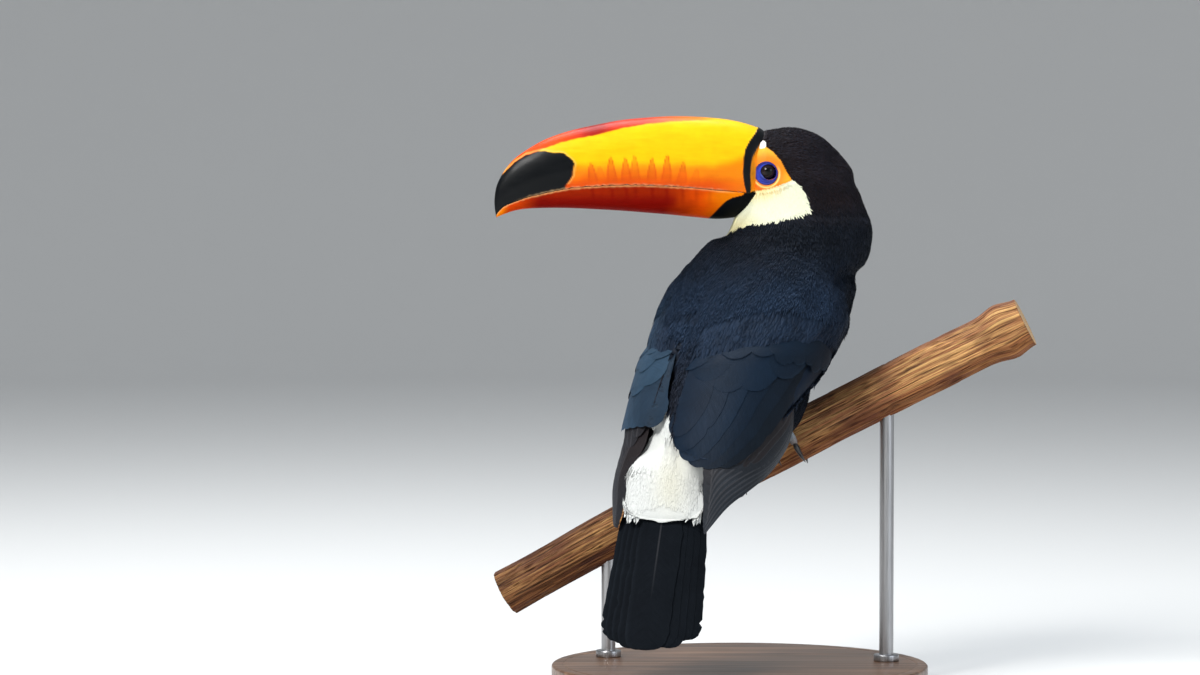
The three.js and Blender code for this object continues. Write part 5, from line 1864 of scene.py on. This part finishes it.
def makeFoot(name):
    footX = feetAt[name]
    side = branchFrames([footX])[1][0]
    parts = []
    for i, toe in enumerate(toePlan):
        parts.append(makeToe(name + "_toe_" + str(i + 1), footX, side, *toe))
        makeClaw(name, str(i + 1), footX, side, *toe)
    parts.append(makeShank(name + "_shank", wings[name]["sign"], footX, side))
    activate(parts[0])
    for one in parts:
        one.select_set(True)
    bpy.ops.object.join()
    parts[0].name = name + "_foot_skin"
    return dress(parts[0], footSkin, [name + "_foot"])


footSkin = hornMaterial("foot_scales", 0.46)
clawHorn = hornMaterial("claw_horn", 0.28)
for name in wings:
    makeFoot(name)
print("feet ready")


# the stand: a turned wooden base and two steel rods
standSettings = {
    "radius": 132, "thickness": 16, "rodRadius": 5, "rodsAt": [-92, 104],
    "rodIntoBranch": 6, "rodIntoBase": 8,
    "collarRadius": 9, "collarHeight": 5, "collarLift": 2.4, "edge": 1.6,
}
# the turned groove near the rim: width and depth of each step inwards, in millimetres
turnedSteps = [(7, 0), (1.2, -0.9), (1.2, 0.9)]


def woodMaterial():
    material, tree, shader = newMaterial("stand_walnut", 0.38, 0.5, coat=0.25, coatRoughness=0.22)
    turn = (0, 0, 0.12)
    bands = noiseOf(tree, objectPoints(tree, (1, 14, 14), turn), 9, detail=5, distortion=0.8)
    fine = noiseOf(tree, objectPoints(tree, (6, 260, 260), turn), 1.0, detail=4)
    colour = mixed(tree, ranged(tree, bands, 0.35, 0.65, 0, 1), (0.075, 0.036, 0.018), (0.20, 0.105, 0.055))
    finished(tree, shader, brightened(tree, colour, varied(tree, fine, 0.72, 1.18)),
             varied(tree, fine, 0.45, 0.33), (fine, 0.15, 0.0003))
    return material


def metalMaterial():
    material, tree, shader = newMaterial("stand_steel", 0.34, 0.5)
    shader.inputs["Metallic"].default_value = 1.0
    brushed = noiseOf(tree, objectPoints(tree, (1600, 1600, 30)), 1.0, detail=2)
    finished(tree, shader, mixed(tree, varied(tree, brushed, 0, 1), (0.30, 0.30, 0.31), (0.46, 0.46, 0.47)),
             varied(tree, brushed, 0.28, 0.42))
    return material


def baked(piece):
    # the piece left at the origin, unturned and unscaled
    activate(piece)
    bpy.ops.object.transform_apply(location=True, rotation=True, scale=True)
    return piece


def cylinder(sides, radius, depth, place, **settings):
    # sizes in millimetres
    deselect()
    bpy.ops.mesh.primitive_cylinder_add(vertices=sides, radius=radius * mm, depth=depth * mm,
                                        location=tuple(v * mm for v in place), **settings)
    return bpy.context.object


def makeBase(material):
    thick = standSettings["thickness"]
    base = cylinder(160, standSettings["radius"], thick, (0, 0, thick / 2), end_fill_type="NGON")
    base.name = "stand_turned_base"
    bpy.ops.object.mode_set(mode="EDIT")
    bpy.ops.mesh.select_mode(type="FACE")
    bpy.ops.mesh.select_all(action="DESELECT")
    bpy.ops.object.mode_set(mode="OBJECT")
    max(base.data.polygons, key=lambda face: face.center.z).select = True
    bpy.ops.object.mode_set(mode="EDIT")
    for wide, deep in turnedSteps:
        bpy.ops.mesh.inset(thickness=wide * mm, depth=deep * mm)
    bpy.ops.object.mode_set(mode="OBJECT")
    apply(base, "BEVEL", width=standSettings["edge"] * mm, segments=4, limit_method="ANGLE",
          angle_limit=math.radians(50))
    bpy.ops.object.shade_smooth_by_angle(angle=math.radians(35))
    dress(baked(base), material, ["stand_base"])


def makeRod(number, x, material):
    _, y, z = branchFrames([x])[0][0]
    top, foot = z - standSettings["rodIntoBranch"], standSettings["thickness"] - standSettings["rodIntoBase"]
    rod = cylinder(64, standSettings["rodRadius"], top - foot, (x, y, (top + foot) / 2))
    rod.name = "stand_steel_rod_" + number
    collarAt = standSettings["thickness"] + standSettings["collarLift"]
    collar = cylinder(64, standSettings["collarRadius"], standSettings["collarHeight"], (x, y, collarAt))
    apply(collar, "BEVEL", width=0.9 * mm, segments=3, limit_method="ANGLE")
    activate(rod)
    collar.select_set(True)
    bpy.ops.object.join()
    bpy.ops.object.shade_smooth_by_angle(angle=math.radians(35))
    dress(baked(rod), material, ["stand_rod_" + number])


def makeStand():
    wood, metal = woodMaterial(), metalMaterial()
    makeBase(wood)
    for i, x in enumerate(standSettings["rodsAt"]):
        makeRod(str(i + 1), x, metal)


makeStand()
print("stand ready")


# the plain room, the light and the camera; metres, watts and degrees
roomSettings = {
    "hole": 0.3, "flat": 3.6, "sweep": 2.2, "top": 4.2, "around": 96, "colour": (0.66, 0.66, 0.65),
    "roughness": 0.9,
    "air": (0.86, 0.92, 1.0), "airStrength": 0.45,
}
# place, aim, size, power and colour of each light
lights = {
    "key_light": ((-1.4, -1.6, 1.9), (-0.05, 0, 0.26), 1.1, 82, (1.0, 0.98, 0.95)),
    "fill_light": ((1.9, -1.5, 0.9), (0, 0, 0.22), 1.6, 18, (0.85, 0.92, 1.0)),
    "top_light": ((-0.3, 0.5, 2.1), (0, 0, 0.25), 1.3, 40, (0.92, 0.96, 1.0)),
}
cameraSettings = {"lens": 150, "sensor": 36, "aim": (-0.098, 0, 0.24535), "distance": 3.5, "raised": 3}


def aimed(thing, place, aim):
    thing.location = place
    thing.rotation_euler = (Vector(aim) - Vector(place)).to_track_quat("-Z", "Y").to_euler()


def makeRoom():
    # a round floor that sweeps up into a wall on every side, with the camera inside it
    flat, sweep, around = roomSettings["flat"], roomSettings["sweep"], roomSettings["around"]
    profile = [(roomSettings["hole"], 0.0), (flat, 0.0)]
    profile += [(flat + sweep * math.sin(a), sweep - sweep * math.cos(a))
                for a in np.linspace(0.05, math.pi / 2, 16)]
    profile += [(flat + sweep, roomSettings["top"])]
    rows = np.array([[(r * math.cos(a), r * math.sin(a), z) for a in turnsOf(around)]
                     for r, z in profile]) / mm
    floor = meshPiece("plain_floor", rows.reshape(-1, 3), gridFaces(len(profile), around, closed=True))

    def filled(work):
        bmesh.ops.holes_fill(work, edges=[e for e in work.edges if e.is_boundary and e.verts[0].co.z < 1])
        bmesh.ops.recalc_face_normals(work, faces=work.faces)
        if work.faces[0].normal.z < 0:
            bmesh.ops.reverse_faces(work, faces=work.faces)
    edited(floor.data, filled)
    material, _, shader = newMaterial("plain_backdrop", roomSettings["roughness"], 0.3)
    shader.inputs["Base Color"].default_value = (*roomSettings["colour"], 1)
    floor.data.materials.append(material)


def makeStage():
    deselect()
    makeRoom()
    scene = bpy.context.scene
    scene.world = bpy.data.worlds.new("soft_room")
    scene.world.use_nodes = True
    air = scene.world.node_tree.nodes["Background"].inputs
    air["Color"].default_value = (*roomSettings["air"], 1)
    air["Strength"].default_value = roomSettings["airStrength"]
    for name, (place, aim, size, power, colour) in lights.items():
        light = bpy.data.lights.new(name, "AREA")
        light.shape, light.size, light.energy, light.color = "DISK", size, power, colour
        lamp = bpy.data.objects.new(name, light)
        scene.collection.objects.link(lamp)
        aimed(lamp, place, aim)
    scene.view_settings.view_transform = "Standard"
    camera = bpy.data.objects.new("camera", bpy.data.cameras.new("camera"))
    scene.collection.objects.link(camera)
    camera.data.lens, camera.data.sensor_width = cameraSettings["lens"], cameraSettings["sensor"]
    aim, raised = Vector(cameraSettings["aim"]), math.radians(cameraSettings["raised"])
    aimed(camera, aim + Vector((0, -math.cos(raised), math.sin(raised))) * cameraSettings["distance"], aim)
    scene.camera = camera


makeStage()
bpy.context.view_layer.update()
print("stage ready")
